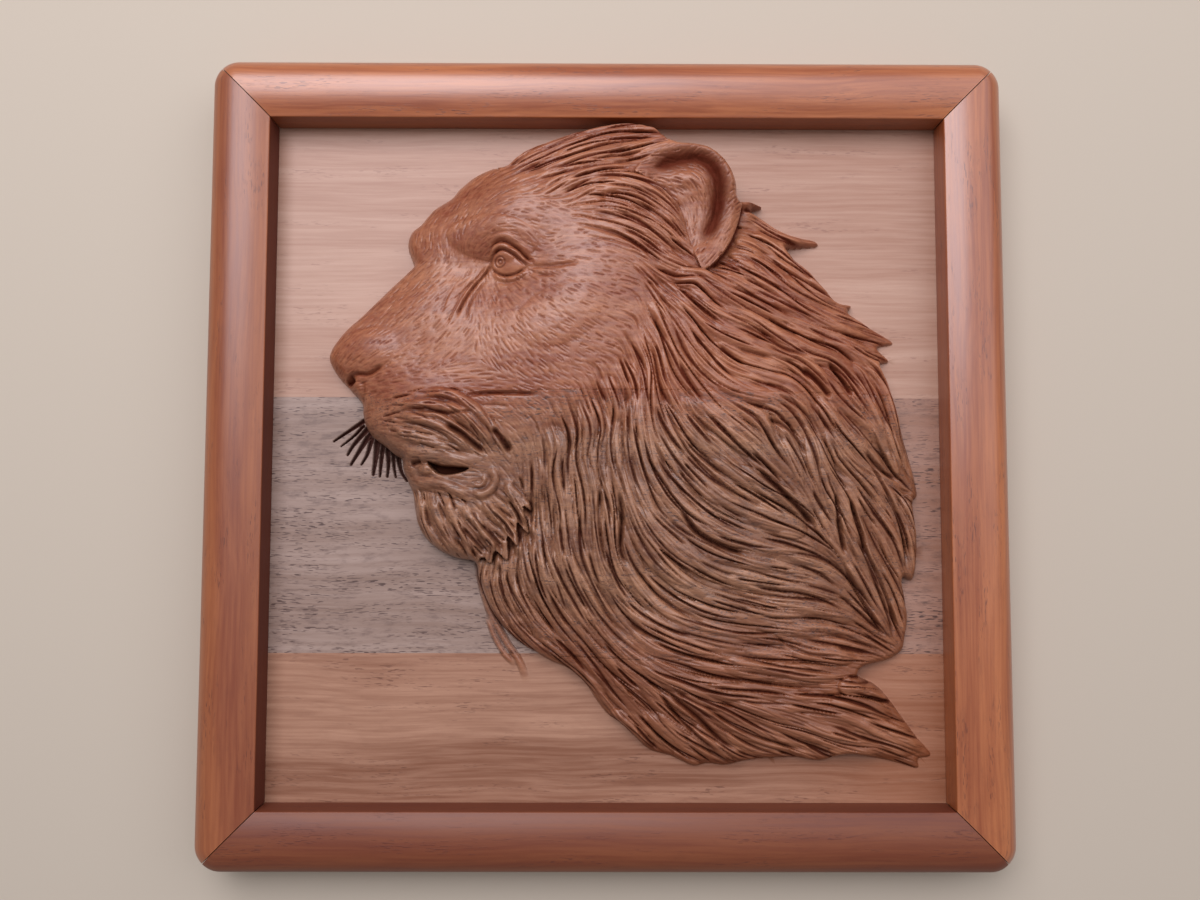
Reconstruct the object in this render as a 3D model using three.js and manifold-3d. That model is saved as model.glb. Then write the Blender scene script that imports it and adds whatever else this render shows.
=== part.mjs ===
// A lion's head in profile, carved in high relief from a panel of three glued boards, in a mitred frame.
// Millimetres, +Z up, front towards -Y. The origin is the middle of the flat back, which hangs on a wall.
import * as THREE from "three";
import Module from "manifold-3d";

// Frame: four rails of one moulding, mitred, with rounded corners.
const sightWidth = 260;
const sightHeight = 262.6;
const railWidth = 23;
const railDepth = 25;
const sightEdgeDepth = 21.7;
const railSideDepth = 17;
const railCrownShare = 0.45;
const cornerRadius = 10;
const cornerSteps = 5;
const shoulderSteps = 7;
const fallSteps = 5;
const mitreGap = 0.3;

// Panel: three boards glued edge to edge, held in a rebate behind the rails.
const panelThickness = 10;
const rebateWidth = 6;
const fitClearance = 0.3;
const upperGlueLine = 24;
const lowerGlueLine = -75;
const glueGap = 0.1;

// Room left between the carving and the frame's sight edge.
const crownClearance = 1.7;
const tipClearance = 5.7;

// Sizes of the carving, in its own units, which are millimetres at the real size.
const edgeRadius = 4.5;
const leastHeight = 0.4;
const swellingRoundness = 0.75;

// Locks lie over each other from the back of the cheek on, and thin out to their tips.
const lockHalfWidth = 5;
const lockTipShare = 0.35;
const lockHeight = 2.6;
const lockSink = 0.5;
const lockRootLength = 12;
const lockTipLength = 22;
const hairStart = -45;
const hairFade = 12;

// Strokes fade over this share of their length at each end.
const strokeFade = 0.18;
const curveTension = 0.5;

// Steps along the curves.
const outlineStep = 1.5;
const outlineSpacing = 2.6;
const strokeSpacing = 2.6;
const lockSpacing = 5;
const fillSpacing = 4.6;

// Rows of the mesh's points beside the curves, and the room that each row keeps.
const rimRoom = 0.9;
const shoulderInset = 1;
const shoulderRoom = 0.8;
const ledgeTop = 0.4;
const ledgeFoot = 0.6;
const ledgeRoom = 0.7;
const strokeRoom = 1.1;
const strokeEdgeRoom = 1.3;
const innerInset = 3.2;
const innerRoom = 2;
const lockRoom = 2.2;
const lockEdgeShare = 0.95;
const lockEdgeRoom = 2.6;
const fillRoomShare = 0.62;

// Outline of the head, clockwise from the tip of the nose: x to the right, z up.
const outline = [
  // nose and bridge
  [-108, 38], [-107, 42.5], [-104, 47], [-100.5, 51], [-96.5, 54.5], [-91, 60], [-84, 67], [-78, 72.5],
  [-75.5, 75],
  // far brow and forehead
  [-76.2, 77.5], [-77.8, 82], [-77.8, 86], [-76.3, 89.2], [-73, 91.7], [-70, 95.5], [-67, 98.5],
  [-61, 102.2], [-58, 106], [-52, 111], [-45, 114], [-40, 114],
  // crown
  [-36, 117], [-30, 121.3], [-22, 124], [-12, 127], [-4, 128.4], [4, 129.6], [12, 129.4], [18, 127.6],
  [22, 124.5], [26, 120.8],
  // ear
  [33, 120], [39.5, 118.3], [45, 114], [48.4, 109.2], [50.3, 104], [51, 99.5],
  // tufts behind the ear
  [55, 100], [61.3, 99.3], [56.5, 97], [62, 94], [66, 91], [71, 88.6], [77, 87.2], [82.3, 86], [82.8, 84],
  [76, 83.2], [70, 82], [73.5, 77], [79, 72.3], [84, 66.6], [89.5, 61.6], [95.8, 60.2], [94.5, 57.4],
  [98.2, 54.8], [104.5, 50.8], [112.3, 45.6], [106, 43.5], [110.5, 38.5], [106.5, 36.5],
  // right-hand edge of the mane
  [109.5, 29], [112.3, 20], [114.5, 11], [117, 3], [119.3, -6], [120.6, -14], [118.5, -17], [119.5, -28],
  [120, -38], [118.2, -46.3], [114, -46], [115.2, -54], [116, -61], [115, -68], [113.6, -73.5],
  // lower tips
  [108, -77], [98.3, -79.5], [96.5, -83], [103, -86.5], [108, -91.5], [113, -98.3], [119, -106.5],
  [124.3, -113], [119.5, -114.5], [119, -118], [110, -115.5], [100, -113.5], [91, -112.5], [81.8, -115],
  [72, -113.8], [62, -114.2], [54, -115], [46, -116.8], [39, -116.3], [33, -117], [25, -113.5],
  [17, -111.2],
  // under the mane and up the neck
  [11, -106], [5.5, -101], [0.5, -97.5], [-3.5, -92.5], [-7.5, -86.5], [-14, -80.7], [-20.9, -77.7],
  [-26.5, -74.5], [-32, -71.5], [-38, -66.5], [-43, -60], [-46.5, -53], [-49, -46], [-50.5, -40],
  // beard and chin
  [-57, -38.6], [-63, -36.2], [-69, -31.6], [-72.5, -26], [-73.9, -20], [-74.8, -13.7], [-76.6, -9.5],
  [-78.6, -4.5],
  // upper lip
  [-79, -0.8], [-82, 1.3], [-86, 4.6], [-90.8, 8.3], [-93.5, 12.7], [-94.6, 17], [-95, 21],
  [-99.7, 26.6], [-104.3, 31.6],
];
const crownReach = Math.max(...outline.map(([, z]) => z));
const tipReach = Math.max(...outline.map(([x]) => x));
const carvingScale = Math.min(
  (sightHeight / 2 - crownClearance) / crownReach,
  (sightWidth / 2 - tipClearance) / tipReach,
);

// Heights of the broad form above the panel: x, z, height. A thin plate bends smoothly through them.
const posts = [
  // nose, bridge and muzzle
  [-105, 40, 8], [-92, 42, 13], [-98, 30, 9], [-91, 18, 9], [-85, 15, 13], [-68, 15, 20], [-74, 2, 13],
  [-92, 56, 8], [-75, 58, 15], [-79, 69, 8], [-60, 65, 17], [-55, 45, 21], [-50, 25, 22], [-70, 38, 18],
  // brow and forehead
  [-75, 85, 8], [-62, 85, 15], [-62, 98, 9], [-46, 110, 10], [-45, 98, 19], [-38, 88, 24], [-38, 73, 18],
  [-55, 70, 15], [-25, 119, 12], [-30, 106, 21],
  // crown, temple and cheek
  [-12, 123, 14], [5, 127, 16], [-10, 110, 23], [-15, 90, 26], [-10, 60, 29], [-35, 50, 25],
  [-25, 33, 26], [-5, 40, 28], [15, 60, 26], [10, 85, 27], [15, 105, 25],
  // ear
  [30, 117, 22], [47, 103, 22], [33, 94, 22], [40, 77, 24],
  // jaw
  [-30, 10, 22], [-40, -5, 18], [-60, -20, 15], [-73, -12, 9], [-52, -33, 13], [-35, -25, 16],
  // mane
  [-10, 20, 26], [-15, -10, 22], [-30, -50, 15], [-46, -55, 6], [0, -30, 24], [20, 20, 26],
  [20, -20, 25], [45, 40, 25], [60, 60, 20], [70, 80, 10], [60, 95, 7], [85, 60, 11], [105, 47, 6],
  [75, 30, 20], [95, 15, 14], [112, 5, 7], [60, 0, 24], [85, -20, 17], [116, -30, 7], [50, -30, 23],
  [80, -50, 16], [113, -60, 7], [25, -50, 22], [0, -60, 17], [-18, -73, 8], [0, -92, 6], [20, -85, 15],
  [50, -70, 19], [80, -75, 14], [103, -88, 7], [50, -100, 11], [22, -108, 6], [80, -105, 9],
  [120, -113, 4], [60, -112, 6], [90, -95, 11], [82, 85, 5],
];

// Locks of the mane, each from its root to its tip.
const locks = [
  // over the crown
  [[-39, 112], [-28, 118.5], [-15, 123], [0, 127], [13, 128]],
  [[-43, 105], [-30, 111], [-15, 117.5], [0, 121.5], [20, 123.5]],
  [[-32, 103.5], [-18, 109], [-5, 112.5], [8, 115.5], [19, 118.5]],
  // in front of the ear
  [[-18, 98.5], [-8, 103], [3, 104], [14, 101], [22, 96], [28, 89.5]],
  [[-10, 91.5], [1, 91], [12, 87.5], [22, 81], [33.5, 72.5]],
  [[-3, 78], [8, 74.5], [16, 69.5], [25, 65.5], [32, 65.5]],
  // behind the ear
  [[48, 96], [55, 98.3], [61, 99]],
  [[47, 91], [56, 91.5], [65, 87.5], [73, 85.3], [82, 85]],
  [[45, 86], [54, 83.5], [62, 79], [68, 73.5], [75, 68], [83, 63], [95, 60]],
  [[40, 73], [50, 69], [62, 63], [74, 56.5], [86, 51.5], [98, 49.5], [112, 46]],
  [
    [33, 63], [42, 55.5], [54, 50.5], [64, 44.5], [76, 39], [86, 37], [94, 30], [101, 20], [107, 8], [112, -3],
  ],
  // from the temple down the side
  [
    [12, 70], [22, 61], [32, 52], [42, 45], [52, 41], [62, 38.5], [72, 35], [80, 28], [88, 19], [97, 11],
    [105, 3],
  ],
  [[16, 62], [25, 49], [32, 37], [41, 28], [51, 23], [61, 20], [69, 15.5], [75, 8], [78, -2], [80, -13]],
  [[14, 58], [21, 44], [27, 31], [35, 20], [44, 12.5], [53, 5], [62, -3], [71, -12], [77, -19]],
  [[12, 52], [18, 39], [21, 27], [27, 15], [35, 5], [45, -4], [56, -11], [67, -17], [76, -22]],
  [
    [7, 38], [12, 27], [12, 15], [14, 3], [19, -9], [28, -20], [40, -28], [54, -33], [69, -36], [83, -41],
    [94, -50],
  ],
  [
    [4, 33], [8, 22], [8, 11], [9, 0], [12, -12], [18, -24], [28, -34], [41, -42], [57, -46.5], [74, -49],
    [89, -54], [103, -65],
  ],
  [
    [-4, 23], [0, 12], [-2, 2], [-1, -8], [2, -19], [4, -32], [8, -43], [17, -54], [30, -61], [46, -65],
    [64, -67], [82, -70], [100, -74],
  ],
  // from the corner of the jaw down the neck
  [
    [-15, 17], [-12, 8], [-13, -2], [-11, -13], [-10, -25], [-9, -37], [-4, -50], [5, -62], [17, -71],
    [32, -76], [50, -80], [70, -82], [96, -84],
  ],
  [
    [-26, 7], [-24, -4], [-24, -15], [-23, -27], [-21, -40], [-15, -54], [-7, -67], [3, -79], [14, -88],
    [26, -99], [37, -107], [48, -115],
  ],
  [[-29, -24], [-29, -36], [-25, -49], [-18, -62], [-9, -74], [1, -86], [11, -98], [21, -108], [33, -115.5]],
  [[-41, -38], [-42, -48], [-38, -59], [-31, -68], [-23, -75]],
  // along the bottom
  [[28, -86], [42, -94], [55, -101], [68, -108], [81, -114.5]],
  [[40, -89], [56, -94], [72, -100], [90, -106], [106, -111], [118, -117]],
  [[54, -90], [72, -93], [90, -98], [106, -105], [123, -112.5]],
  // down the right-hand edge
  [[97, 39], [104, 33], [109, 24], [113, 12], [117, 0]],
  [[90, 8], [98, 0], [105, -9], [111, -18], [116, -30], [119, -43]],
  [[80, -2], [86, -10], [92, -20], [98, -31], [104, -42], [110, -53], [115, -64]],
  [[60, 13], [65, 4], [70, -6], [75, -17], [82, -29], [90, -39], [99, -52], [108, -67]],
];

// Raised strokes: points, half width, height.
const ridges = [
  // eyelids
  [[[-44, 73], [-42, 77.5], [-38.5, 78.3], [-34.5, 76.3], [-31.5, 73], [-28.5, 70.6]], 1.6, 1.8],
  [[[-42.8, 69.3], [-40, 67], [-36.5, 66.4], [-33, 67.1], [-30, 69.3]], 1.4, 1.2],
  // rim of the ear
  [
    [[12, 109], [20, 114], [30, 116.8], [38.5, 115], [44, 109], [46.6, 101], [46, 92], [43, 84], [38, 76.5]],
    4.2, 4,
  ],
  // lips
  [[[-77, 1.5], [-70, 1], [-62, 0], [-54, -1.5], [-48, -2.5]], 3, 1.6],
  [[[-74, -9], [-70, -10], [-63, -10.2], [-57, -12.5], [-50, -15.2]], 2.6, 1.8],
  [[[-50, -13], [-46, -13.5], [-42.5, -10.5], [-42.5, -7], [-45, -4.5]], 2, 1.4],
  // whisker locks of the muzzle
  [[[-66, 23.5], [-58, 22.8], [-50, 18.5], [-43.5, 12], [-39, 5], [-37.3, 0.5]], 2.6, 2.6],
  [[[-77, 19], [-68, 19.5], [-59, 18], [-52, 14], [-46, 8], [-42, 3]], 2.4, 2],
  [[[-78, 14.5], [-70, 13.5], [-62, 11], [-55, 6], [-49, 1.5]], 2.4, 2],
  [[[-82, 10], [-74, 7.5], [-66, 5], [-57, 2]], 2.6, 1.4],
  // beard
  [[[-71, -15], [-70, -22], [-66.5, -31], [-62, -36]], 2.8, 1.6],
  [[[-65.5, -15], [-64, -22], [-60, -30], [-56, -37]], 2.8, 1.8],
  [[[-60, -16], [-57, -23], [-52, -30], [-46, -36]], 2.8, 1.8],
  [[[-53.5, -18], [-50, -24], [-45, -30], [-38, -34]], 2.8, 1.8],
  [[[-46, -17], [-43, -21], [-38.5, -24.5]], 2.4, 1.6],
  [[[-37, -9], [-33, -14], [-28.5, -19.5]], 2.4, 1.6],
];

// Cut strokes: points, half width, depth.
const grooves = [
  // nostril, and the line down from the corner of the eye
  [[[-99.8, 30.5], [-96, 31.6], [-91, 31.2], [-88, 32], [-84.5, 34]], 2.2, 3],
  [[[-43.5, 72.8], [-46, 69.3], [-50, 65], [-53.3, 60.9], [-56, 56], [-58, 52.3]], 2, 2.2],
  // edges of the eyeball
  [[[-43.4, 71.8], [-42, 75.7], [-39.7, 76.8], [-36.5, 75.6], [-33, 73], [-30, 70.4]], 1.2, 2],
  [[[-43.2, 71.2], [-41.7, 69.1], [-39.5, 68.1], [-36.5, 67.7], [-33.3, 68.5], [-30, 70.4]], 1, 1.4],
  [[[-29.5, 70.4], [-24, 70.2], [-18, 70], [-10, 71]], 1.8, 1],
  // hollow of the ear
  [
    [[13, 105], [21, 109.5], [31, 112], [37.5, 110], [41, 104.5], [41.6, 97], [40.3, 89], [36.5, 82],
      [33.5, 77]],
    4.6, 5.5,
  ],
  // cheek
  [[[-52, 22.3], [-45, 23], [-35, 23], [-25, 22.5]], 1.5, 1.8],
  // mouth, and the gaps between the whisker locks
  [[[-67.5, -2.5], [-63, -4.5], [-57, -5], [-51, -4.8]], 2.6, 7],
  [[[-59, 12], [-53, 8.2], [-48, 4], [-45, 1.5]], 2, 3.5],
  [[[-42, 10.3], [-39.5, 7], [-35.5, 2]], 2.2, 4],
  // gaps between the big locks
  [[[4, -12], [5.5, -22], [5, -34], [8, -41]], 1.8, 2.5],
  [[[26, -18], [33, -28], [43, -33.5], [52, -36]], 2.4, 3],
  [[[54, -4], [60, -9], [67, -15.5], [72, -20], [78, -27]], 2.6, 4],
  [[[72, 33], [78, 28.5], [84, 22]], 2.4, 3.5],
  [[[83, 36], [88, 30], [93, 23]], 2, 3],
  [[[85, -13], [86.5, -25], [89, -37]], 2, 3],
  [[[60, -64], [68, -72], [78, -77.5], [86, -79]], 2.2, 3],
  [[[22, -87], [33, -96], [43, -106], [50, -110]], 2.4, 3],
  [[[97, 3], [104, -4.5], [112, -8.5]], 2, 2.5],
];

// Places where one form stands over the next: points with the lower side on the right, drop, and its reach.
const ledges = [
  // jaw over the neck
  [[[-29, -14], [-27.5, -20.5], [-31, -26], [-34, -32], [-39, -35.3], [-46.5, -37.7], [-52.5, -38.6]], 6, 9],
  // ear over the mane
  [[[36, 69.5], [40.5, 73], [44.5, 78.5], [47.7, 84.5], [50.2, 91], [51, 99.5]], 6, 7],
  // hair over the hollow of the ear
  [[[34, 72.5], [31, 79], [29, 87], [26.5, 94], [20, 101], [12, 105]], 2.5, 5],
];

// Swellings and hollows: middle x, middle z, half length, half breadth, turn in degrees, height.
const swellings = [
  [-37, 72.5, 7, 5.2, -12, 2.6],
  [-39, 85.5, 16, 6, -6, 2],
  [-98, 29.2, 3, 2.2, 35, -3.5],
  [-68, -4.8, 3, 2.6, 0, 4],
  [30, 94, 15, 7.5, 70, 3.2],
  [-92, 40, 13, 9, 20, 1.6],
];

// Whiskers of the far side, cut into the panel beside the lip: start, end, half width.
const whiskers = [
  [[-95.5, 13.5], [-104.5, 7], 1.1],
  [[-94.5, 11], [-99.5, -1.5], 1.2],
  [[-91.5, 8.8], [-96, 0], 1],
  [[-89, 6.2], [-92, -5], 1.4],
  [[-86.5, 4.6], [-87, -6], 1.1],
  [[-84, 2.8], [-84.5, -7], 1],
  [[-81.5, 1], [-82, -7.5], 0.9],
];
const whiskerDepth = 1.6;
const whiskerTip = 3;

// A smooth curve through a stroke's points, in steps of about the given length.
function curve(points, spacing, closed = false) {
  const line = new THREE.CatmullRomCurve3(
    points.map(([x, z]) => new THREE.Vector3(x, 0, z)),
    closed,
    "catmullrom",
    curveTension,
  );
  const steps = Math.max(2, Math.round(line.getLength() / spacing));
  return line.getSpacedPoints(steps).map((p) => [p.x, p.z]);
}

// The nearest place on a curve: its distance, its side (positive to the right) and the length before it.
function nearest(line, x, z) {
  let best = { gap: Infinity, side: 0, along: 0 };
  let run = 0;
  for (let i = 1; i < line.length; i++) {
    const [ax, az] = line[i - 1];
    const dx = line[i][0] - ax;
    const dz = line[i][1] - az;
    const length = Math.hypot(dx, dz);
    const share = ((x - ax) * dx + (z - az) * dz) / (length * length || 1);
    const t = Math.min(1, Math.max(0, share));
    const gap = Math.hypot(x - ax - t * dx, z - az - t * dz);
    if (gap < best.gap) best = { gap, side: dz * (x - ax) - dx * (z - az), along: run + t * length };
    run += length;
  }
  return { ...best, length: run };
}

// Depth inside the outline, negative outside it.
const outlineCurve = curve(outline, outlineStep, true);
function depthInside(x, z) {
  let inside = false;
  for (let i = 1; i < outlineCurve.length; i++) {
    const [ax, az] = outlineCurve[i - 1];
    const [bx, bz] = outlineCurve[i];
    if (az > z !== bz > z && x < ((bx - ax) * (z - az)) / (bz - az) + ax) inside = !inside;
  }
  const { gap } = nearest(outlineCurve, x, z);
  return inside ? gap : -gap;
}

// A thin plate bent through the posts: solves for one weight a post, and for the plane they sit on.
const plateUnit = 100;
const plateSoftness = 0.002;
const bend = (squared) => (squared > 0 ? squared * Math.log(squared) : 0);
function thinPlate(data) {
  const points = data.map(([x, z]) => [x / plateUnit, z / plateUnit]);
  const size = data.length + 3;
  const rows = Array.from({ length: size }, () => new Float64Array(size + 1));
  points.forEach(([x, z], i) => {
    points.forEach(([u, w], j) => (rows[i][j] = bend((x - u) ** 2 + (z - w) ** 2)));
    rows[i][i] += plateSoftness;
    [1, x, z].forEach((term, k) => {
      rows[i][data.length + k] = term;
      rows[data.length + k][i] = term;
    });
    rows[i][size] = data[i][2];
  });
  for (let c = 0; c < size; c++) {
    let pivot = c;
    for (let r = c + 1; r < size; r++) if (Math.abs(rows[r][c]) > Math.abs(rows[pivot][c])) pivot = r;
    [rows[c], rows[pivot]] = [rows[pivot], rows[c]];
    for (let r = 0; r < size; r++) {
      if (r === c) continue;
      const share = rows[r][c] / rows[c][c];
      for (let k = c; k <= size; k++) rows[r][k] -= share * rows[c][k];
    }
  }
  const weights = rows.map((row, i) => row[size] / row[i]);
  return (x, z) => {
    const [u, w] = [x / plateUnit, z / plateUnit];
    const [flat, alongX, alongZ] = weights.slice(-3);
    return points.reduce(
      (sum, [px, pz], i) => sum + weights[i] * bend((u - px) ** 2 + (w - pz) ** 2),
      flat + alongX * u + alongZ * w,
    );
  };
}
const broadForm = thinPlate(posts);

const smoothStep = (t) => THREE.MathUtils.smoothstep(t, 0, 1);
const lockCurves = locks.map((points) => curve(points, lockSpacing));
const ridgeCurves = ridges.map(([points, half, height]) => [curve(points, strokeSpacing), half, height]);
const grooveCurves = grooves.map(([points, half, depth]) => [curve(points, strokeSpacing), half, depth]);
const ledgeCurves = ledges.map(([points, drop, reach]) => [curve(points, strokeSpacing), drop, reach]);
const whiskerCurves = whiskers.map(([start, end, half]) => [curve([start, end], strokeSpacing), half]);

// A stroke's strength along its length, faded at each end.
const fade = ({ along, length }) =>
  smoothStep(along / (strokeFade * length)) * smoothStep((length - along) / (strokeFade * length));

// Rounded back of the tallest lock at a place, from 0 between locks to 1 along the middle of one.
function lockShare(x, z) {
  let share = 0;
  for (const line of lockCurves) {
    const place = nearest(line, x, z);
    const root = smoothStep(place.along / lockRootLength);
    const tip = smoothStep((place.length - place.along) / lockTipLength);
    const half = lockHalfWidth * (lockTipShare + (1 - lockTipShare) * tip);
    share = Math.max(share, root * (1 - (place.gap / half) ** 2));
  }
  return share;
}

// Height of the carved surface above the panel, in the carving's units.
function relief(x, z) {
  const depth = depthInside(x, z);
  let height = 0;
  if (depth <= 0) {
    for (const [line, half] of whiskerCurves) {
      const place = nearest(line, x, z);
      const thinning = smoothStep((place.length - place.along) / whiskerTip);
      height -= whiskerDepth * thinning * Math.max(0, 1 - place.gap / half);
    }
    return height;
  }
  const haired = smoothStep((x - hairStart) / hairFade);
  height = broadForm(x, z) + lockHeight * (lockShare(x, z) - lockSink) * haired;
  for (const [mx, mz, half, breadth, turn, rise] of swellings) {
    const [c, s] = [Math.cos((turn * Math.PI) / 180), Math.sin((turn * Math.PI) / 180)];
    const u = ((x - mx) * c + (z - mz) * s) / half;
    const w = ((z - mz) * c - (x - mx) * s) / breadth;
    height += rise * Math.max(0, 1 - u * u - w * w) ** swellingRoundness;
  }
  for (const [line, half, rise] of ridgeCurves) {
    const place = nearest(line, x, z);
    height += rise * fade(place) * Math.max(0, 1 - (place.gap / half) ** 2);
  }
  for (const [line, half, cut] of grooveCurves) {
    const place = nearest(line, x, z);
    height -= cut * fade(place) * Math.max(0, 1 - place.gap / half);
  }
  for (const [line, drop, reach] of ledgeCurves) {
    const place = nearest(line, x, z);
    if (place.side > 0) height -= drop * fade(place) * Math.exp(-place.gap / reach);
  }
  const rounded = Math.min(1, depth / edgeRadius);
  return Math.max(leastHeight, height) * Math.sqrt(1 - (1 - rounded) ** 2);
}

// Points of the mesh, the ones that carry a form first. A later point too close to another is left out.
const panelHalfWidth = sightWidth / 2 + rebateWidth - fitClearance;
const panelHalfHeight = sightHeight / 2 + rebateWidth - fitClearance;
const places = [];
function place(x, z, room) {
  if (places.every((p) => Math.hypot(p[0] - x, p[1] - z) >= room)) places.push([x, z]);
}
function placeBeside(line, offset, room) {
  line.forEach(([x, z], i) => {
    const [ax, az] = line[Math.max(0, i - 1)];
    const [bx, bz] = line[Math.min(line.length - 1, i + 1)];
    const length = Math.hypot(bx - ax, bz - az) || 1;
    place(x + (offset * (bz - az)) / length, z - (offset * (bx - ax)) / length, room);
  });
}
for (const x of [-1, 1]) {
  for (const z of [-1, 1]) {
    places.push([(x * panelHalfWidth) / carvingScale, (z * panelHalfHeight) / carvingScale]);
  }
}
const rim = curve(outline, outlineSpacing, true);
placeBeside(rim, 0, rimRoom);
placeBeside(rim, shoulderInset, shoulderRoom);
for (const [line] of whiskerCurves) placeBeside(line, 0, shoulderRoom);
for (const [line, half] of whiskerCurves) {
  placeBeside(line, half, shoulderRoom);
  placeBeside(line, -half, shoulderRoom);
}
for (const [line] of ledgeCurves) {
  placeBeside(line, -ledgeTop, ledgeRoom);
  placeBeside(line, ledgeFoot, ledgeRoom);
}
for (const [line] of [...grooveCurves, ...ridgeCurves]) placeBeside(line, 0, strokeRoom);
for (const [line, half] of [...grooveCurves, ...ridgeCurves]) {
  placeBeside(line, half, strokeEdgeRoom);
  placeBeside(line, -half, strokeEdgeRoom);
}
placeBeside(rim, innerInset, innerRoom);
for (const line of lockCurves) placeBeside(line, 0, lockRoom);
for (const line of lockCurves) {
  placeBeside(line, lockHalfWidth * lockEdgeShare, lockEdgeRoom);
  placeBeside(line, -lockHalfWidth * lockEdgeShare, lockEdgeRoom);
}
const rowHeight = fillSpacing * Math.sqrt(0.75);
for (let row = 0; row * rowHeight < 2 * crownReach; row++) {
  for (let column = 0; column * fillSpacing < 2 * tipReach; column++) {
    const x = -tipReach + (column + (row % 2) / 2) * fillSpacing;
    const z = -crownReach + row * rowHeight;
    if (depthInside(x, z) > shoulderInset) place(x, z, fillRoomShare * fillSpacing);
  }
}

// Joins the points into triangles so that no point lies inside another triangle's circle.
function triangulate(points) {
  const far = 1e5;
  const all = [...points, [-far, -far], [far, -far], [0, far]];
  const withCircle = (a, b, c) => {
    const [ax, az] = all[a];
    const [bx, bz] = [all[b][0] - ax, all[b][1] - az];
    const [cx, cz] = [all[c][0] - ax, all[c][1] - az];
    const double = 2 * (bx * cz - bz * cx);
    const x = (cz * (bx * bx + bz * bz) - bz * (cx * cx + cz * cz)) / double;
    const z = (bx * (cx * cx + cz * cz) - cx * (bx * bx + bz * bz)) / double;
    return { corners: [a, b, c], x: ax + x, z: az + z, squared: x * x + z * z };
  };
  let triangles = [withCircle(points.length, points.length + 1, points.length + 2)];
  points.forEach(([x, z], index) => {
    const edges = new Map();
    triangles = triangles.filter((t) => {
      if ((x - t.x) ** 2 + (z - t.z) ** 2 >= t.squared) return true;
      t.corners.forEach((a, i) => {
        const b = t.corners[(i + 1) % 3];
        if (!edges.delete(b + "," + a)) edges.set(a + "," + b, [a, b]);
      });
      return false;
    });
    for (const [a, b] of edges.values()) triangles.push(withCircle(a, b, index));
  });
  return triangles.map((t) => t.corners).filter((corners) => Math.max(...corners) < points.length);
}

const wasm = await Module();
wasm.setup();

// A solid from corner points and the triangles between them.
function solid(corners, faces) {
  const vertProperties = new Float32Array(corners.flat());
  const triVerts = new Uint32Array(faces.flat());
  return new wasm.Manifold(new wasm.Mesh({ numProp: 3, vertProperties, triVerts }));
}

// The parts of a solid over and under a level.
const above = (body, z) => body.trimByPlane([0, 0, 1], z);
const below = (body, z) => body.trimByPlane([0, 0, -1], -z);

// The whole panel with its carving. The four corners of the panel come first, and again at the back.
function carvedPanel() {
  const front = places.map(([x, z], i) => [
    x * carvingScale,
    -panelThickness - (i < 4 ? 0 : relief(x, z) * carvingScale),
    z * carvingScale,
  ]);
  const back = front.slice(0, 4).map(([x, , z]) => [x, 0, z]);
  const b = front.length;
  const [lowLeft, highLeft, lowRight, highRight] = [0, 1, 2, 3];
  const around = [lowLeft, lowRight, highRight, highLeft];
  const faces = triangulate(places);
  around.forEach((from, i) => {
    const to = around[(i + 1) % 4];
    faces.push([to, from, b + from], [to, b + from, b + to]);
  });
  faces.push([b + lowLeft, b + highLeft, b + highRight], [b + lowLeft, b + highRight, b + lowRight]);
  return solid([...front, ...back], faces);
}

// Section of a rail: distance in from the outer edge, height off the wall.
function railSection() {
  const seat = panelThickness + fitClearance;
  const crown = railCrownShare * railWidth;
  const rise = railDepth - railSideDepth;
  const fall = railDepth - sightEdgeDepth;
  const section = [[0, 0], [0, railSideDepth]];
  for (let i = 1; i <= shoulderSteps; i++) {
    const turn = (Math.PI / 2) * (i / shoulderSteps);
    section.push([crown * (1 - Math.cos(turn)), railSideDepth + rise * Math.sin(turn)]);
  }
  for (let i = 1; i <= fallSteps; i++) {
    const share = i / fallSteps;
    section.push([crown + (railWidth - crown) * share, railDepth - fall * share ** 2]);
  }
  section.push([railWidth, seat], [railWidth - rebateWidth, seat], [railWidth - rebateWidth, 0]);
  return section;
}

// One rail: its section carried round half of each rounded corner and along the side between them.
function railSolid(halfLength, halfReach) {
  const section = railSection();
  const stations = [];
  for (const end of [1, -1]) {
    for (let i = 0; i <= cornerSteps; i++) {
      const share = end > 0 ? i / cornerSteps : 1 - i / cornerSteps;
      stations.push({ end, turn: (Math.PI / 4) * (1 + share) });
    }
  }
  const corners = [];
  for (const { end, turn } of stations) {
    for (const [inset, off] of section) {
      const left = cornerRadius - inset;
      const [u, w] = left > 0 ? [left * Math.cos(turn), left * Math.sin(turn)] : [left, left];
      const slip = mitreGap / 2 / Math.sin(Math.PI / 4);
      corners.push([end * (halfLength - cornerRadius + u - slip), -off, halfReach - cornerRadius + w]);
    }
  }
  const n = section.length;
  const same = (a, b) => Math.hypot(...corners[a].map((v, k) => v - corners[b][k])) < 1e-6;
  const faces = [];
  for (let k = 0; k + 1 < stations.length; k++) {
    for (let i = 0; i < n; i++) {
      const [a, b] = [k * n + i, k * n + ((i + 1) % n)];
      faces.push([a, b + n, b], [a, a + n, b + n]);
    }
  }
  const ends = THREE.ShapeUtils.triangulateShape(section.map(([u, w]) => new THREE.Vector2(u, w)), []);
  const last = (stations.length - 1) * n;
  for (const [a, b, c] of ends) faces.push([c, b, a], [last + a, last + b, last + c]);
  const first = corners.map((_, a) => corners.findIndex((_, b) => same(a, b)));
  const kept = faces
    .map((face) => face.map((corner) => first[corner]))
    .filter(([a, b, c]) => a !== b && b !== c && c !== a);
  return solid(corners, kept);
}

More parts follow.
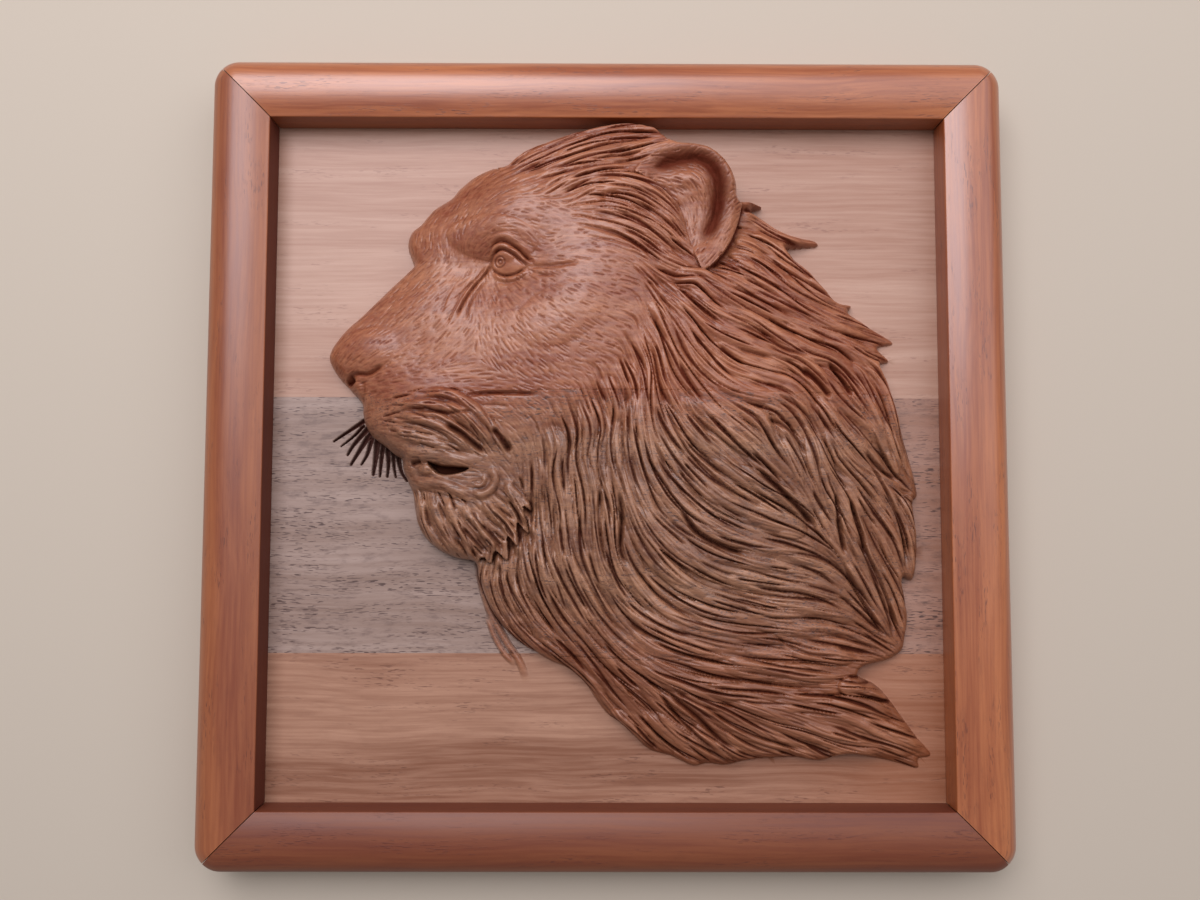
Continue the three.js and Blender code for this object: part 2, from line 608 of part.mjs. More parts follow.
function named(name, body, material) {
  const mesh = body.getMesh();
  const geometry = new THREE.BufferGeometry();
  geometry.setAttribute("position", new THREE.BufferAttribute(mesh.vertProperties, 3));
  geometry.setIndex(new THREE.BufferAttribute(mesh.triVerts, 1));
  geometry.computeVertexNormals();
  const piece = new THREE.Mesh(geometry, material);
  piece.name = name;
  return piece;
}

const wood = (color, roughness) => new THREE.MeshStandardMaterial({ color, roughness, metalness: 0 });
const upperWood = wood("#b98e7b", 0.55);
const middleWood = wood("#8f7867", 0.55);
const lowerWood = wood("#8a5f4d", 0.55);
const frameWood = wood("#a0522d", 0.4);

const object = new THREE.Group();
object.name = "carved_lion_head";

// Boards, from one carved panel.
const panel = carvedPanel();
const underUpper = below(panel, upperGlueLine - glueGap / 2);
object.add(
  named("upper_board", above(panel, upperGlueLine + glueGap / 2), upperWood),
  named("middle_board", above(underUpper, lowerGlueLine + glueGap / 2), middleWood),
  named("lower_board", below(panel, lowerGlueLine - glueGap / 2), lowerWood),
);

// Rails, each turned into its place round the frame.
const frameHalfWidth = sightWidth / 2 + railWidth;
const frameHalfHeight = sightHeight / 2 + railWidth;
const rails = [
  ["frame_top_rail", frameHalfWidth, frameHalfHeight, 0],
  ["frame_right_stile", frameHalfHeight, frameHalfWidth, 1],
  ["frame_bottom_rail", frameHalfWidth, frameHalfHeight, 2],
  ["frame_left_stile", frameHalfHeight, frameHalfWidth, 3],
];
for (const [name, halfLength, halfReach, quarters] of rails) {
  const rail = named(name, railSolid(halfLength, halfReach), frameWood);
  rail.rotation.y = (quarters * Math.PI) / 2;
  object.add(rail);
}

export default object;
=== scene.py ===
"""A lion's head in profile, carved in high relief from three glued boards, in a mitred frame.

The boards are one carved surface, worked out on an even grid in millimetres: a broad form, the modelling of
eye, nose, ear and mouth, and hair laid as locks, strands and cuts along lines read from the carving. The
frame's rails are one moulding, bent round its corners by a node tree. Metres, +Z up, front towards -Y.
"""

import math

import bmesh
import bpy
import numpy as np
from bpy.props import FloatProperty, FloatVectorProperty, IntProperty, PointerProperty
from mathutils import Matrix, Vector


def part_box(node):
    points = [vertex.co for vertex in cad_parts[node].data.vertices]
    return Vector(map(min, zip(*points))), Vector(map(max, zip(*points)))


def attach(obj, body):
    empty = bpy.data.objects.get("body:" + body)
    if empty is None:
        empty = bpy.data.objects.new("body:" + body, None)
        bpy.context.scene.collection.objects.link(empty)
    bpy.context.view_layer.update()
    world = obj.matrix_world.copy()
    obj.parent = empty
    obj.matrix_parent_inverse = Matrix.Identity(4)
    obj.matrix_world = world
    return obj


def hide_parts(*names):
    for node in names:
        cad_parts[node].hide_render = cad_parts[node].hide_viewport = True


bl_info = {
    "name": "Carved lion head",
    "version": (1, 0, 0),
    "blender": (4, 5, 0),
    "location": "View3D > Sidebar > Carving",
    "description": "Builds a framed relief carving of a lion's head, with its materials and stage",
    "category": "Object",
}

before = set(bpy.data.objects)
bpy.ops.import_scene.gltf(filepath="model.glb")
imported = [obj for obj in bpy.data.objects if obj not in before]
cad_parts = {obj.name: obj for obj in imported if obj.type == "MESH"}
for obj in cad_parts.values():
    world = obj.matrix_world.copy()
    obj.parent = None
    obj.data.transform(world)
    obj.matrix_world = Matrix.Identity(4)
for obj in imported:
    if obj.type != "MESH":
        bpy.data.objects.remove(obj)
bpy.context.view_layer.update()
MM = 0.001
# Heights on the panel between which the middle board takes on the colour of the board over or under it.
UPPER_FADE = (6.0, 25.5)
LOWER_FADE = (-48.0, -72.0)
# Distances to the right between which the two lower boards grow warmer, and by what share.
WARM_END = (50.0, 125.0)
WARM_SHARE = 0.4

# Outline of the head, clockwise from the tip of the nose: x to the right, z up.
OUTLINE = [
    # nose and bridge
    [-108, 38], [-107, 42.5], [-104, 47], [-100.5, 51], [-96.5, 54.5], [-91, 60], [-84, 67], [-78, 72.5],
    [-75.5, 75],
    # far brow and forehead
    [-76.2, 77.5], [-77.8, 82], [-77.8, 86], [-76.3, 89.2], [-73, 91.7], [-70, 95.5], [-67, 98.5],
    [-61, 102.2], [-58, 106], [-52, 111], [-45, 114], [-40, 114],
    # crown
    [-36, 117], [-30, 121.3], [-22, 124], [-12, 127], [-4, 128.4], [4, 129.6], [12, 129.4], [18, 127.6],
    [22, 124.5], [26, 120.8],
    # ear
    [33, 120], [39.5, 118.3], [45, 114], [48.4, 109.2], [50.3, 104], [51, 99.5],
    # tufts behind the ear
    [55, 100], [61.3, 99.3], [56.5, 97], [62, 94], [66, 91], [71, 88.6], [77, 87.2], [82.3, 86], [82.8, 84],
    [76, 83.2], [70, 82], [73.5, 77], [79, 72.3], [84, 66.6], [89.5, 61.6], [95.8, 60.2], [94.5, 57.4],
    [98.2, 54.8], [104.5, 50.8], [112.3, 45.6], [106, 43.5], [110.5, 38.5], [106.5, 36.5],
    # right-hand edge of the mane
    [109.5, 29], [112.3, 20], [114.5, 11], [117, 3], [119.3, -6], [120.6, -14], [118.5, -17], [119.5, -28],
    [120, -38], [118.2, -46.3], [114, -46], [115.2, -54], [116, -61], [115, -68], [113.6, -73.5],
    # lower tips
    [108, -77], [98.3, -79.5], [96.5, -83], [103, -86.5], [108, -91.5], [113, -98.3], [119, -106.5],
    [124.3, -113], [119.5, -114.5], [119, -118], [110, -115.5], [100, -113.5], [91, -112.5], [81.8, -115],
    [72, -113.8], [62, -114.2], [54, -115], [46, -116.8], [39, -116.3], [33, -117], [25, -113.5],
    [17, -111.2],
    # under the mane and up the neck
    [11, -106], [5.5, -101], [0.5, -97.5], [-3.5, -92.5], [-7.5, -86.5], [-14, -80.7], [-20.9, -77.7],
    [-26.5, -74.5], [-32, -71.5], [-38, -66.5], [-43, -60], [-46.5, -53], [-49, -46], [-50.5, -40],
    # beard and chin
    [-57, -38.6], [-63, -36.2], [-69, -31.6], [-72.5, -26], [-73.9, -20], [-74.8, -13.7], [-76.6, -9.5],
    [-78.6, -4.5],
    # upper lip
    [-79, -0.8], [-82, 1.3], [-86, 4.6], [-90.8, 8.3], [-93.5, 12.7], [-94.6, 17], [-95, 21], [-99.7, 26.6],
    [-104.3, 31.6],
]

# Heights of the broad form above the panel: x, z, height. A thin plate bends smoothly through them.
POSTS = [
    # nose, bridge and muzzle
    [-105, 40, 8], [-92, 42, 13], [-98, 30, 9], [-91, 18, 9], [-85, 15, 13], [-68, 15, 20], [-74, 2, 13],
    [-92, 56, 8], [-75, 58, 15], [-79, 69, 8], [-60, 65, 17], [-55, 45, 21], [-50, 25, 22], [-70, 38, 18],
    # brow and forehead
    [-75, 85, 8], [-62, 85, 15], [-62, 98, 9], [-46, 110, 10], [-45, 98, 19], [-38, 88, 24], [-38, 73, 18],
    [-55, 70, 15], [-25, 119, 12], [-30, 106, 21],
    # crown, temple and cheek
    [-12, 123, 14], [5, 127, 16], [-10, 110, 23], [-15, 90, 26], [-10, 60, 29], [-35, 50, 25], [-25, 33, 26],
    [-5, 40, 28], [15, 60, 26], [10, 85, 27], [15, 105, 25],
    # ear
    [30, 117, 22], [47, 103, 22], [33, 94, 22], [40, 77, 24],
    # jaw
    [-30, 10, 22], [-40, -5, 18], [-60, -20, 15], [-73, -12, 9], [-52, -33, 13], [-35, -25, 16],
    # mane
    [-10, 20, 26], [-15, -10, 22], [-30, -50, 15], [-46, -55, 6], [0, -30, 24], [20, 20, 26], [20, -20, 25],
    [45, 40, 25], [60, 60, 20], [70, 80, 10], [60, 95, 7], [85, 60, 11], [105, 47, 6], [75, 30, 20],
    [95, 15, 14], [112, 5, 7], [60, 0, 24], [85, -20, 17], [116, -30, 7], [50, -30, 23], [80, -50, 16],
    [113, -60, 7], [25, -50, 22], [0, -60, 17], [-18, -73, 8], [0, -92, 6], [20, -85, 15], [50, -70, 19],
    [80, -75, 14], [103, -88, 7], [50, -100, 11], [22, -108, 6], [80, -105, 9], [120, -113, 4], [60, -112, 6],
    [90, -95, 11], [82, 85, 5],
]

# Lines of the hair, each from its root to its tip.
HAIR_LINES = [
    # crown
    [[-39, 112], [-28, 118.5], [-15, 123], [0, 127], [13, 128]],
    [[-43, 105], [-30, 111], [-15, 117.5], [0, 121.5], [20, 123.5]],
    [[-32, 103.5], [-18, 109], [-5, 112.5], [8, 115.5], [19, 118.5]],
    [[-24, 97.5], [-12, 103.5], [0, 107], [9, 108.5]],
    # in front of the ear
    [[-18, 98.5], [-8, 103], [3, 104], [14, 101], [22, 96], [28, 89.5]],
    [[-14, 95], [-5, 98.5], [5, 98.5], [16, 94.5], [24, 89], [29.5, 83]],
    [[-10, 91.5], [1, 91], [12, 87.5], [22, 81], [33.5, 72.5]],
    [[-8, 86.5], [2, 83.5], [12, 79], [21, 73], [30, 69.5], [35, 69.5]],
    [[-3, 78], [8, 74.5], [16, 69.5], [25, 65.5], [32, 65.5]],
    # behind the ear
    [[48, 96], [55, 98.3], [61, 99]],
    [[47, 91], [56, 91.5], [65, 87.5], [73, 85.3], [82, 85]],
    [[45, 86], [54, 83.5], [62, 79], [68, 73.5], [75, 68], [83, 63], [95, 60]],
    [[43, 79], [52, 77], [61, 72], [70, 64.5], [80, 58.5], [90, 55.5], [98, 53.5]],
    [[40, 73], [50, 69], [62, 63], [74, 56.5], [86, 51.5], [98, 49.5], [112, 46]],
    [[37, 67], [47, 62], [58, 56.5], [70, 51], [82, 46.5], [92, 43], [100, 40], [110, 38.5]],
    [
        [33, 63], [42, 55.5], [54, 50.5], [64, 44.5], [76, 39], [86, 37], [94, 30], [101, 20], [107, 8],
        [112, -3],
    ],
    # from the temple down the side
    [
        [12, 70], [22, 61], [32, 52], [42, 45], [52, 41], [62, 38.5], [72, 35], [80, 28], [88, 19], [97, 11],
        [105, 3],
    ],
    [[20, 61], [29, 51], [37, 41], [46, 33.5], [57, 30], [67, 27.5], [76, 19], [82, 9], [86, 0]],
    [[16, 62], [25, 49], [32, 37], [41, 28], [51, 23], [61, 20], [69, 15.5], [75, 8], [78, -2], [80, -13]],
    [[14, 58], [21, 44], [27, 31], [35, 20], [44, 12.5], [53, 5], [62, -3], [71, -12], [77, -19]],
    [[12, 52], [18, 39], [21, 27], [27, 15], [35, 5], [45, -4], [56, -11], [67, -17], [76, -22]],
    [[10, 45], [15, 33], [16, 21], [20, 9], [27, -2], [37, -12], [48, -19], [60, -24], [73, -28], [82, -34]],
    [
        [7, 38], [12, 27], [12, 15], [14, 3], [19, -9], [28, -20], [40, -28], [54, -33], [69, -36], [83, -41],
        [94, -50],
    ],
    [
        [4, 33], [8, 22], [8, 11], [9, 0], [12, -12], [18, -24], [28, -34], [41, -42], [57, -46.5], [74, -49],
        [89, -54], [103, -65],
    ],
    [
        [0, 28], [4, 17], [2, 6], [3, -5], [7, -17], [12, -29], [20, -40], [32, -49], [47, -54], [64, -58],
        [82, -60], [96, -64], [109, -71],
    ],
    [
        [-4, 23], [0, 12], [-2, 2], [-1, -8], [2, -19], [4, -32], [8, -43], [17, -54], [30, -61], [46, -65],
        [64, -67], [82, -70], [100, -74],
    ],
    [
        [-9, 20], [-6, 10], [-7, 0], [-5, -11], [-4, -22], [-3, -34], [1, -46], [10, -58], [23, -66],
        [38, -70], [56, -73], [76, -76], [97, -79],
    ],
    # from the corner of the jaw down the neck
    [
        [-15, 17], [-12, 8], [-13, -2], [-11, -13], [-10, -25], [-9, -37], [-4, -50], [5, -62], [17, -71],
        [32, -76], [50, -80], [70, -82], [96, -84],
    ],
    [
        [-21, 13], [-18, 4], [-19, -7], [-17, -19], [-16, -31], [-13, -43], [-6, -56], [3, -68], [15, -78],
        [30, -84], [48, -87], [70, -89], [90, -92], [112, -100],
    ],
    [
        [-26, 7], [-24, -4], [-24, -15], [-23, -27], [-21, -40], [-15, -54], [-7, -67], [3, -79], [14, -88],
        [26, -99], [37, -107], [48, -115],
    ],
    [
        [-29, -24], [-29, -36], [-25, -49], [-18, -62], [-9, -74], [1, -86], [11, -98], [21, -108],
        [33, -115.5],
    ],
    [[-35, -34], [-36, -44], [-32, -55], [-25, -66], [-15, -75], [-6, -85], [3, -96], [13, -106]],
    [[-41, -38], [-42, -48], [-38, -59], [-31, -68], [-23, -75]],
    [[-47, -39], [-48, -47], [-45, -56], [-39, -65]],
    # along the bottom
    [[18, -84], [30, -92], [41, -101], [54, -109], [68, -113]],
    [[28, -86], [42, -94], [55, -101], [68, -108], [81, -114.5]],
    [[40, -89], [56, -94], [72, -100], [90, -106], [106, -111], [118, -117]],
    [[54, -90], [72, -93], [90, -98], [106, -105], [123, -112.5]],
    # right-hand locks
    [[88, 39], [94, 34], [99, 27], [104, 17], [109, 6], [114, -5], [119, -13]],
    [[97, 39], [104, 33], [109, 24], [113, 12], [117, 0]],
    [[84, 10], [91, 1], [99, -5], [107, -9], [118, -13]],
    [[90, 8], [98, 0], [105, -9], [111, -18], [116, -30], [119, -43]],
    [[86, -3], [93, -11], [100, -20], [107, -29], [112, -39], [116, -46]],
    [[80, -2], [86, -10], [92, -20], [98, -31], [104, -42], [110, -53], [115, -64]],
    [[76, -6], [81, -16], [86, -26], [92, -37], [99, -48], [106, -59], [113, -71]],
    [[60, 13], [65, 4], [70, -6], [75, -17], [82, -29], [90, -39], [99, -52], [108, -67]],
]

# Short fur of the face and the ear, in the directions that it lies.
FUR_LINES = [
    # bridge of the nose
    [(-105, 40), (-100, 47), (-92, 54), (-84, 62), (-76, 70), (-68, 76)],
    [(-102, 38), (-94, 46), (-85, 53), (-76, 61), (-68, 68), (-60, 75)],
    [(-96, 38), (-86, 44), (-76, 50), (-68, 56), (-60, 63), (-54, 70)],
    # side of the muzzle
    [(-84, 36), (-74, 41), (-66, 46), (-60, 53)],
    [(-80, 31), (-68, 34), (-57, 40), (-50, 48)],
    [(-94, 24), (-82, 25), (-70, 26.5), (-58, 27.5), (-42, 28), (-28, 26)],
    [(-94, 15), (-84, 17), (-72, 19.5), (-60, 19), (-50, 14), (-42, 5)],
    [(-90, 11), (-80, 11), (-68, 10), (-57, 6), (-50, 1)],
    [(-86, 6), (-76, 4), (-64, 2.5), (-50, 0)],
    # cheek
    [(-48, 62), (-46, 52), (-43, 42), (-37, 32), (-30, 26)],
    [(-43, 62), (-38, 52), (-30, 42), (-21, 34), (-13, 29)],
    [(-36, 63), (-27, 54), (-16, 46), (-6, 41), (2, 38)],
    [(-28, 67), (-16, 61), (-4, 55), (8, 51)],
    [(-24, 71), (-12, 69), (0, 66), (9, 64)],
    [(-22, 77), (-12, 79), (-2, 78)],
    # brow and forehead
    [(-62, 76), (-63, 86), (-58, 96), (-51, 106), (-44, 112)],
    [(-74, 78), (-75, 86), (-71, 93), (-64, 99), (-56, 106)],
    [(-56, 76), (-56, 86), (-50, 96), (-42, 104), (-34, 108)],
    [(-52, 82), (-46, 89), (-37, 93), (-26, 93), (-16, 90)],
    [(-47, 81), (-40, 84.5), (-32, 83.5), (-25, 79)],
    # corner of the mouth and jaw
    [(-44, 18), (-35, 12), (-29, 4), (-27, -4)],
    [(-42, 3), (-36, -3), (-32, -10), (-29, -17)],
    [(-70, -5), (-60, -9), (-50, -11), (-44, -10)],
    # beard
    [(-75, -9), (-73.5, -17), (-70, -26), (-66, -34)],
    [(-68, -13), (-66, -21), (-61, -30), (-56, -37)],
    [(-60, -15), (-56, -23), (-50, -31), (-44, -37)],
    [(-52, -17), (-47, -24), (-41, -30), (-36, -33)],
    [(-44, -15), (-38, -20), (-33, -25), (-30, -27)],
    # across the rim of the ear
    [(28, 111), (34, 118)],
    [(40, 108), (46, 114)],
    [(44.5, 97), (50, 103)],
    [(43.5, 88), (49, 95)],
    [(40, 78), (46, 86)],
    [(36, 71), (42, 78)],
    # inside the ear
    [(14, 106), (24, 107), (33, 103), (37, 96)],
    [(22, 103), (29, 99), (33, 92), (34, 84)],
    [(18, 110), (28, 111), (37, 107), (40.5, 98), (39.5, 88), (35, 79)],
]
# How many of these lines the mane's hair also follows: from the first, those of nose, muzzle, cheek and brow.
FACE_LINES = 20
# How far into the fur of the face the hair's strokes start.
MEETING = 7.0
# Added to the places on the fur's strands, so that they share no grain with the hair's.
FUR_START = 900.0
# Ridges that start lower than this are the hair of whisker pad and beard.
UNDER_NOSE = 24

# Edge of the hair against the face, from the forehead round the cheek to the throat.
HAIRLINE = [
    (-44, 118), (-40, 108), (-33, 104), (-24, 98.5), (-15, 95), (-10, 91), (-6, 84), (2, 79), (8, 72),
    (11, 64), (12, 56), (10, 50), (8, 44), (4, 37), (-2, 31), (-8, 25), (-13, 21), (-18, 16.5), (-24, 12),
    (-26, 6), (-28, 0), (-30, -6), (-30.5, -12),
    # tips of the beard over the neck
    (-28, -20), (-31, -18.5), (-29, -28.5), (-33.5, -24.5), (-33, -33), (-37, -29.5), (-37, -38.5),
    (-41.5, -35), (-43.5, -40), (-46.5, -37.5), (-50, -41), (-52, -38.5), (-56, -39),
]
# Closes the hairline round the rest of the panel.
BEYOND_HAIRLINE = [(-60, -150), (150, -150), (150, 150), (-60, 150)]

EAR = [
    (10, 106), (14, 111), (22, 116), (33, 122), (41, 120), (46.5, 115), (50, 109.2), (52, 104), (51.5, 98.6),
    (50, 90.5), (47.3, 83.2), (44, 77.3), (40, 72.3), (35.5, 69), (33, 73), (31, 79), (29.5, 85), (27, 93),
    (21, 100), (12, 105),
]
WHISKER_PAD = [
    (-82, 21), (-74, 24), (-64, 25.5), (-55, 24.5), (-48, 20), (-41, 12.5), (-35.5, 0), (-43, -1), (-50, 0),
    (-60, 1.5), (-72, 4), (-82, 9), (-86, 14),
]
BEARD = [
    (-82, -8), (-72, -12), (-62, -12.5), (-56, -15), (-50, -17), (-44, -14.5), (-37, -9), (-31, -8),
    (-28, -19), (-33, -27), (-39, -35.3), (-46.5, -38), (-57, -42), (-76, -36), (-82, -20),
]
EYE_OPENING = [
    (-43.6, 71.8), (-42.6, 74.6), (-40.6, 76.6), (-38.6, 76.6), (-36, 75.3), (-33, 73.1), (-30.2, 70.5),
    (-33, 68.8), (-36.5, 68), (-39.7, 68.4), (-42.2, 69.8),
]
MOUTH_OPENING = [
    (-67.5, -1.6), (-62, -2.8), (-56, -3.3), (-51, -4.1), (-53.5, -6), (-60, -7.2), (-64.5, -6),
]

# Raised strokes: points, half width, height.
RIDGES = [
    # eyelids and the fold over the upper one
    ([(-44, 73), (-42.3, 77.2), (-38.8, 78.1), (-34.8, 76.2), (-31.5, 73.3), (-28, 70.6)], 1.3, 1.5),
    ([(-43, 69.2), (-40, 67), (-36.5, 66.4), (-33, 67), (-29.5, 69.4)], 1.2, 1),
    ([(-45, 77.5), (-42, 81), (-37.5, 81.3), (-33, 78.8), (-29.5, 75.5), (-26, 72.5)], 1.6, 0.9),
    # rim of the ear
    ([(12, 109), (20, 114), (30, 116.8), (38.5, 115), (44, 109), (46.6, 101), (46, 92), (43, 84), (38, 76.5)],
     5.2, 2.4),
    # inner fold of the ear
    ([(22, 101), (29, 103.5), (35, 101), (37.5, 95), (37, 88), (34.5, 82), (32, 78)], 3, 0.9),
    # lips
    ([(-78, 2), (-70, 1), (-62, 0), (-54, -1.5), (-47.5, -2.8)], 3, 1.8),
    ([(-75, -9), (-70, -9.8), (-63, -9.8), (-57, -12), (-50, -15.2)], 2.4, 1.8),
    ([(-50.5, -13.2), (-46, -14), (-42, -11), (-41.5, -7), (-44, -4)], 1.8, 1.6),
    ([(-50, -10.3), (-47, -10.8), (-45.3, -8.8), (-46.3, -6.8)], 1, 0.9),
    # locks of the whisker pad
    ([(-68, 23.6), (-58, 22.8), (-50, 18.5), (-43.5, 12), (-39, 5), (-37.3, 0)], 2.3, 2.6),
    ([(-60, 20.5), (-52, 15.8), (-46, 9.5), (-41.5, 3.5)], 1.7, 2),
    ([(-79, 19), (-68, 19.3), (-59, 17.8), (-52, 13.4), (-46, 7.5), (-42.5, 2)], 1.9, 2.1),
    ([(-78, 14.8), (-70, 13.8), (-62, 11.2), (-55, 6.2), (-49, 1.2)], 2.1, 2.1),
    ([(-70, 16.8), (-61, 14.2), (-53.5, 9), (-48, 3.5)], 1.4, 1.5),
    ([(-82, 10.5), (-74, 8), (-66, 5.2), (-56, 1.8)], 2.2, 1.4),
    # beard
    ([(-71, -14), (-70, -22), (-66.5, -30), (-62, -36)], 2.3, 1.5),
    ([(-65.5, -14), (-64, -22), (-60, -29.5), (-56, -36.5)], 2.3, 1.7),
    ([(-60, -15), (-57, -23), (-51.5, -30), (-46, -36)], 2.4, 1.8),
    ([(-53.5, -17.5), (-50, -24), (-44.5, -30), (-38, -34)], 2.4, 1.8),
    ([(-46, -16.5), (-42.5, -21.5), (-38, -25)], 2, 1.5),
    ([(-38, -9), (-33, -14.5), (-28.5, -20)], 2, 1.5),
    # tips of the beard that hang over the neck
    ([(-38.5, -11), (-33, -18), (-28.5, -25), (-26.5, -31)], 1.7, 2.4),
    ([(-44, -17), (-38.5, -24), (-34, -31), (-31.5, -38)], 1.9, 2.6),
    ([(-50, -21), (-45.5, -28), (-41.5, -35), (-40, -43)], 1.8, 2.4),
    ([(-56, -25), (-52.5, -32), (-50, -41)], 1.6, 2),
]

# Cut strokes: points, half width, depth.
CUTS = [
    # nostril and the crease round its wing
    ([(-99.8, 29.8), (-98, 31), (-95, 31.6), (-91, 31.3), (-88, 32.2), (-84, 34.8)], 1.2, 1.7),
    ([(-100.2, 28.4), (-98.4, 28.8), (-96.4, 30.2)], 1.9, 2.8),
    ([(-93, 29.5), (-92.6, 25.5), (-93.3, 20)], 1.3, 0.8),
    # line down from the inner corner of the eye
    ([(-43, 73.2), (-45.2, 70), (-49, 65.5), (-52, 61), (-54.5, 56), (-56.5, 51)], 0.9, 1.7),
    ([(-45.5, 72), (-49, 67.5), (-53, 63.5), (-56.5, 58)], 0.7, 0.9),
    ([(-45.5, 66.5), (-49, 61.5), (-51.5, 56), (-52.5, 50)], 0.7, 0.9),
    ([(-50, 67), (-54, 61), (-58, 53), (-60, 48)], 0.6, 0.7),
    ([(-57, 66), (-60, 60), (-62, 53)], 1, 0.5),
    # edges of the eyeball
    ([(-44, 72), (-42.8, 75), (-40.6, 76.9), (-38.4, 76.9), (-35.8, 75.5), (-32.8, 73.2), (-29.6, 70.4)],
     0.8, 1.5),
    ([(-43.6, 71), (-42, 69.4), (-39.7, 68.1), (-36.5, 67.7), (-33, 68.5), (-29.8, 70.4)], 0.7, 1),
    # fold over the upper lid, and the folds behind the eye
    ([(-44.5, 76), (-42, 79.4), (-38, 79.8), (-33.8, 77.2), (-30.2, 73.8), (-26.5, 71)], 0.8, 0.9),
    ([(-29.5, 70.4), (-24, 70.2), (-18, 70), (-10, 71)], 1.3, 0.9),
    ([(-29, 68.8), (-25, 67), (-19, 66.3)], 0.9, 0.5),
    ([(-41.5, 65.5), (-37.5, 64.6), (-33, 65.2)], 0.9, 0.4),
    # hollow of the ear
    ([(13, 105), (21, 109.5), (31, 112), (37.5, 110), (41, 104.5), (41.6, 97), (40.3, 89), (36.5, 82),
      (33.5, 77)], 6, 3),
    # cheek
    ([(-53, 22.2), (-45, 23), (-35, 23), (-24.5, 22.6)], 1.1, 1.7),
    ([(-46, 18.7), (-41, 18.7), (-36, 18)], 0.7, 0.7),
    # gaps between the locks of the whisker pad
    ([(-74, 17.2), (-65, 16.6), (-58, 15.8), (-48, 16.8)], 0.9, 1.3),
    ([(-76, 12.8), (-68, 11.4), (-61, 8.2), (-58, 5)], 0.9, 1),
    ([(-60, 12), (-54, 8.6), (-49, 4.4), (-45, 1)], 1.6, 3.4),
    ([(-42.5, 10.3), (-39.5, 7), (-35.5, 1.5)], 1.8, 3.6),
    ([(-57, 13.5), (-50, 8.5), (-44.5, 3)], 0.7, 1),
    # under the lip, and under the jaw
    ([(-74, -3), (-72, -2.2), (-69.5, -1.6)], 1.4, 2.2),
    ([(-72, -12.5), (-66, -13.3), (-59, -15), (-52, -18.3)], 0.9, 0.8),
    ([(-47, -25), (-42.5, -29.5), (-38.5, -34)], 1, 2.2),
    ([(-42, -20.5), (-37.5, -25.5), (-34, -31)], 1.1, 2.6),
    ([(-36.5, -16), (-33.5, -21), (-31, -26.5)], 0.9, 2.2),
    ([(-54, -26), (-49.5, -31), (-45, -36)], 1, 2.2),
    # gaps between the big locks
    ([(4, -12), (5.5, -22), (5, -34), (8, -41)], 1.3, 2.6),
    ([(-2, -10), (-3, -22), (-1.5, -34), (0.5, -41)], 1.1, 2),
    ([(26, -18), (33, -28), (43, -33.5), (52, -36)], 1.5, 3),
    ([(54, -4), (60, -9), (67, -15.5), (72, -20), (78, -27)], 1.7, 3.6),
    ([(72, 33), (78, 28.5), (84, 22)], 1.5, 3.2),
    ([(83, 36), (88, 30), (93, 23)], 1.4, 3),
    ([(85, -13), (86.5, -25), (89, -37)], 1.3, 2.8),
    ([(91, -15), (95, -27), (98, -38)], 1.2, 2.4),
    ([(60, -64), (68, -70), (78, -73.5), (88, -74)], 0.9, 1.4),
    ([(22, -87), (33, -96), (43, -106), (50, -110)], 1.5, 2.8),
    ([(97, 3), (104, -4.5), (112, -8.5)], 1.3, 2.4),
    ([(90.4, -15.2), (97.7, -35.6), (103.5, -46)], 1.1, 2.4),
    ([(92.8, -27.1), (101, -45.7), (107, -60), (110, -70)], 1.2, 2.6),
    ([(99.4, -38.9), (106, -52.4), (111.2, -65.8)], 1.1, 2.2),
    ([(87.5, -39), (95.8, -52.4), (105, -67)], 1.1, 2.2),
    ([(98.3, 0.2), (106.6, -13.5), (112.5, -27), (115, -43)], 1, 2),
    ([(36.3, -92.6), (53.1, -103), (76, -111)], 1.1, 2.2),
    ([(19.5, -87.6), (29.6, -100), (43, -112)], 1.1, 2.2),
    ([(58, 14), (64, 12), (69, 8), (74, 0)], 1.4, 2.2),
    ([(48, 49), (57, 45.5), (66, 40), (76, 38)], 1.4, 2.2),
]

# Places where one form stands over the next, by the region on the lower side: points, drop, reach.
LEDGES = {
    "mane": [
        # jaw over the neck
        ([(-54, -39), (-46.5, -37.7), (-39, -35.3), (-34, -32), (-31, -26), (-28.5, -19.5), (-30, -13)],
         4.2, 5),
        # ear over the hair behind it
        ([(51, 99.5), (50.2, 91), (47.7, 84.5), (44.5, 78.5), (40.5, 73), (35.8, 69)], 5, 6),
    ],
    "ear": [
        # hair over the hollow of the ear
        ([(12, 105), (21, 100), (27, 93), (29.5, 85), (31, 79), (33.5, 72.5)], 3, 5),
    ],
}

# Swellings and hollows: middle x, middle z, half length, half breadth, turn in degrees, height.
SWELLINGS = [
    # eyeball, brow, nostril, tooth, ear, tip of the nose, cheekbone
    (-37, 72.5, 7, 5.2, -12, 2.6),
    (-43, 82, 18, 8.5, -10, 2.2),
    (-98, 29.2, 2.6, 1.8, 35, -2.2),
    (-68.2, -4.8, 2.8, 2.2, 0, 1.6),
    (29, 94, 13, 6.5, 70, 0.8),
    (-92, 40, 13, 9, 20, 1.6),
    (-17, 52, 18, 11, 25, 0.8),
]

# Rings of the iris and the pupil: middle x, middle z, radius, half width, depth.
EYE_RINGS = [
    (-40.1, 72.6, 1.9, 0.5, 0.55),
    (-40.1, 72.6, 0.7, 0.5, 0.6),
]

# Depth of the mouth behind the lips, and of the whiskers in the panel.
MOUTH_DEPTH = 6.5
WHISKER_DEPTH = 2.2
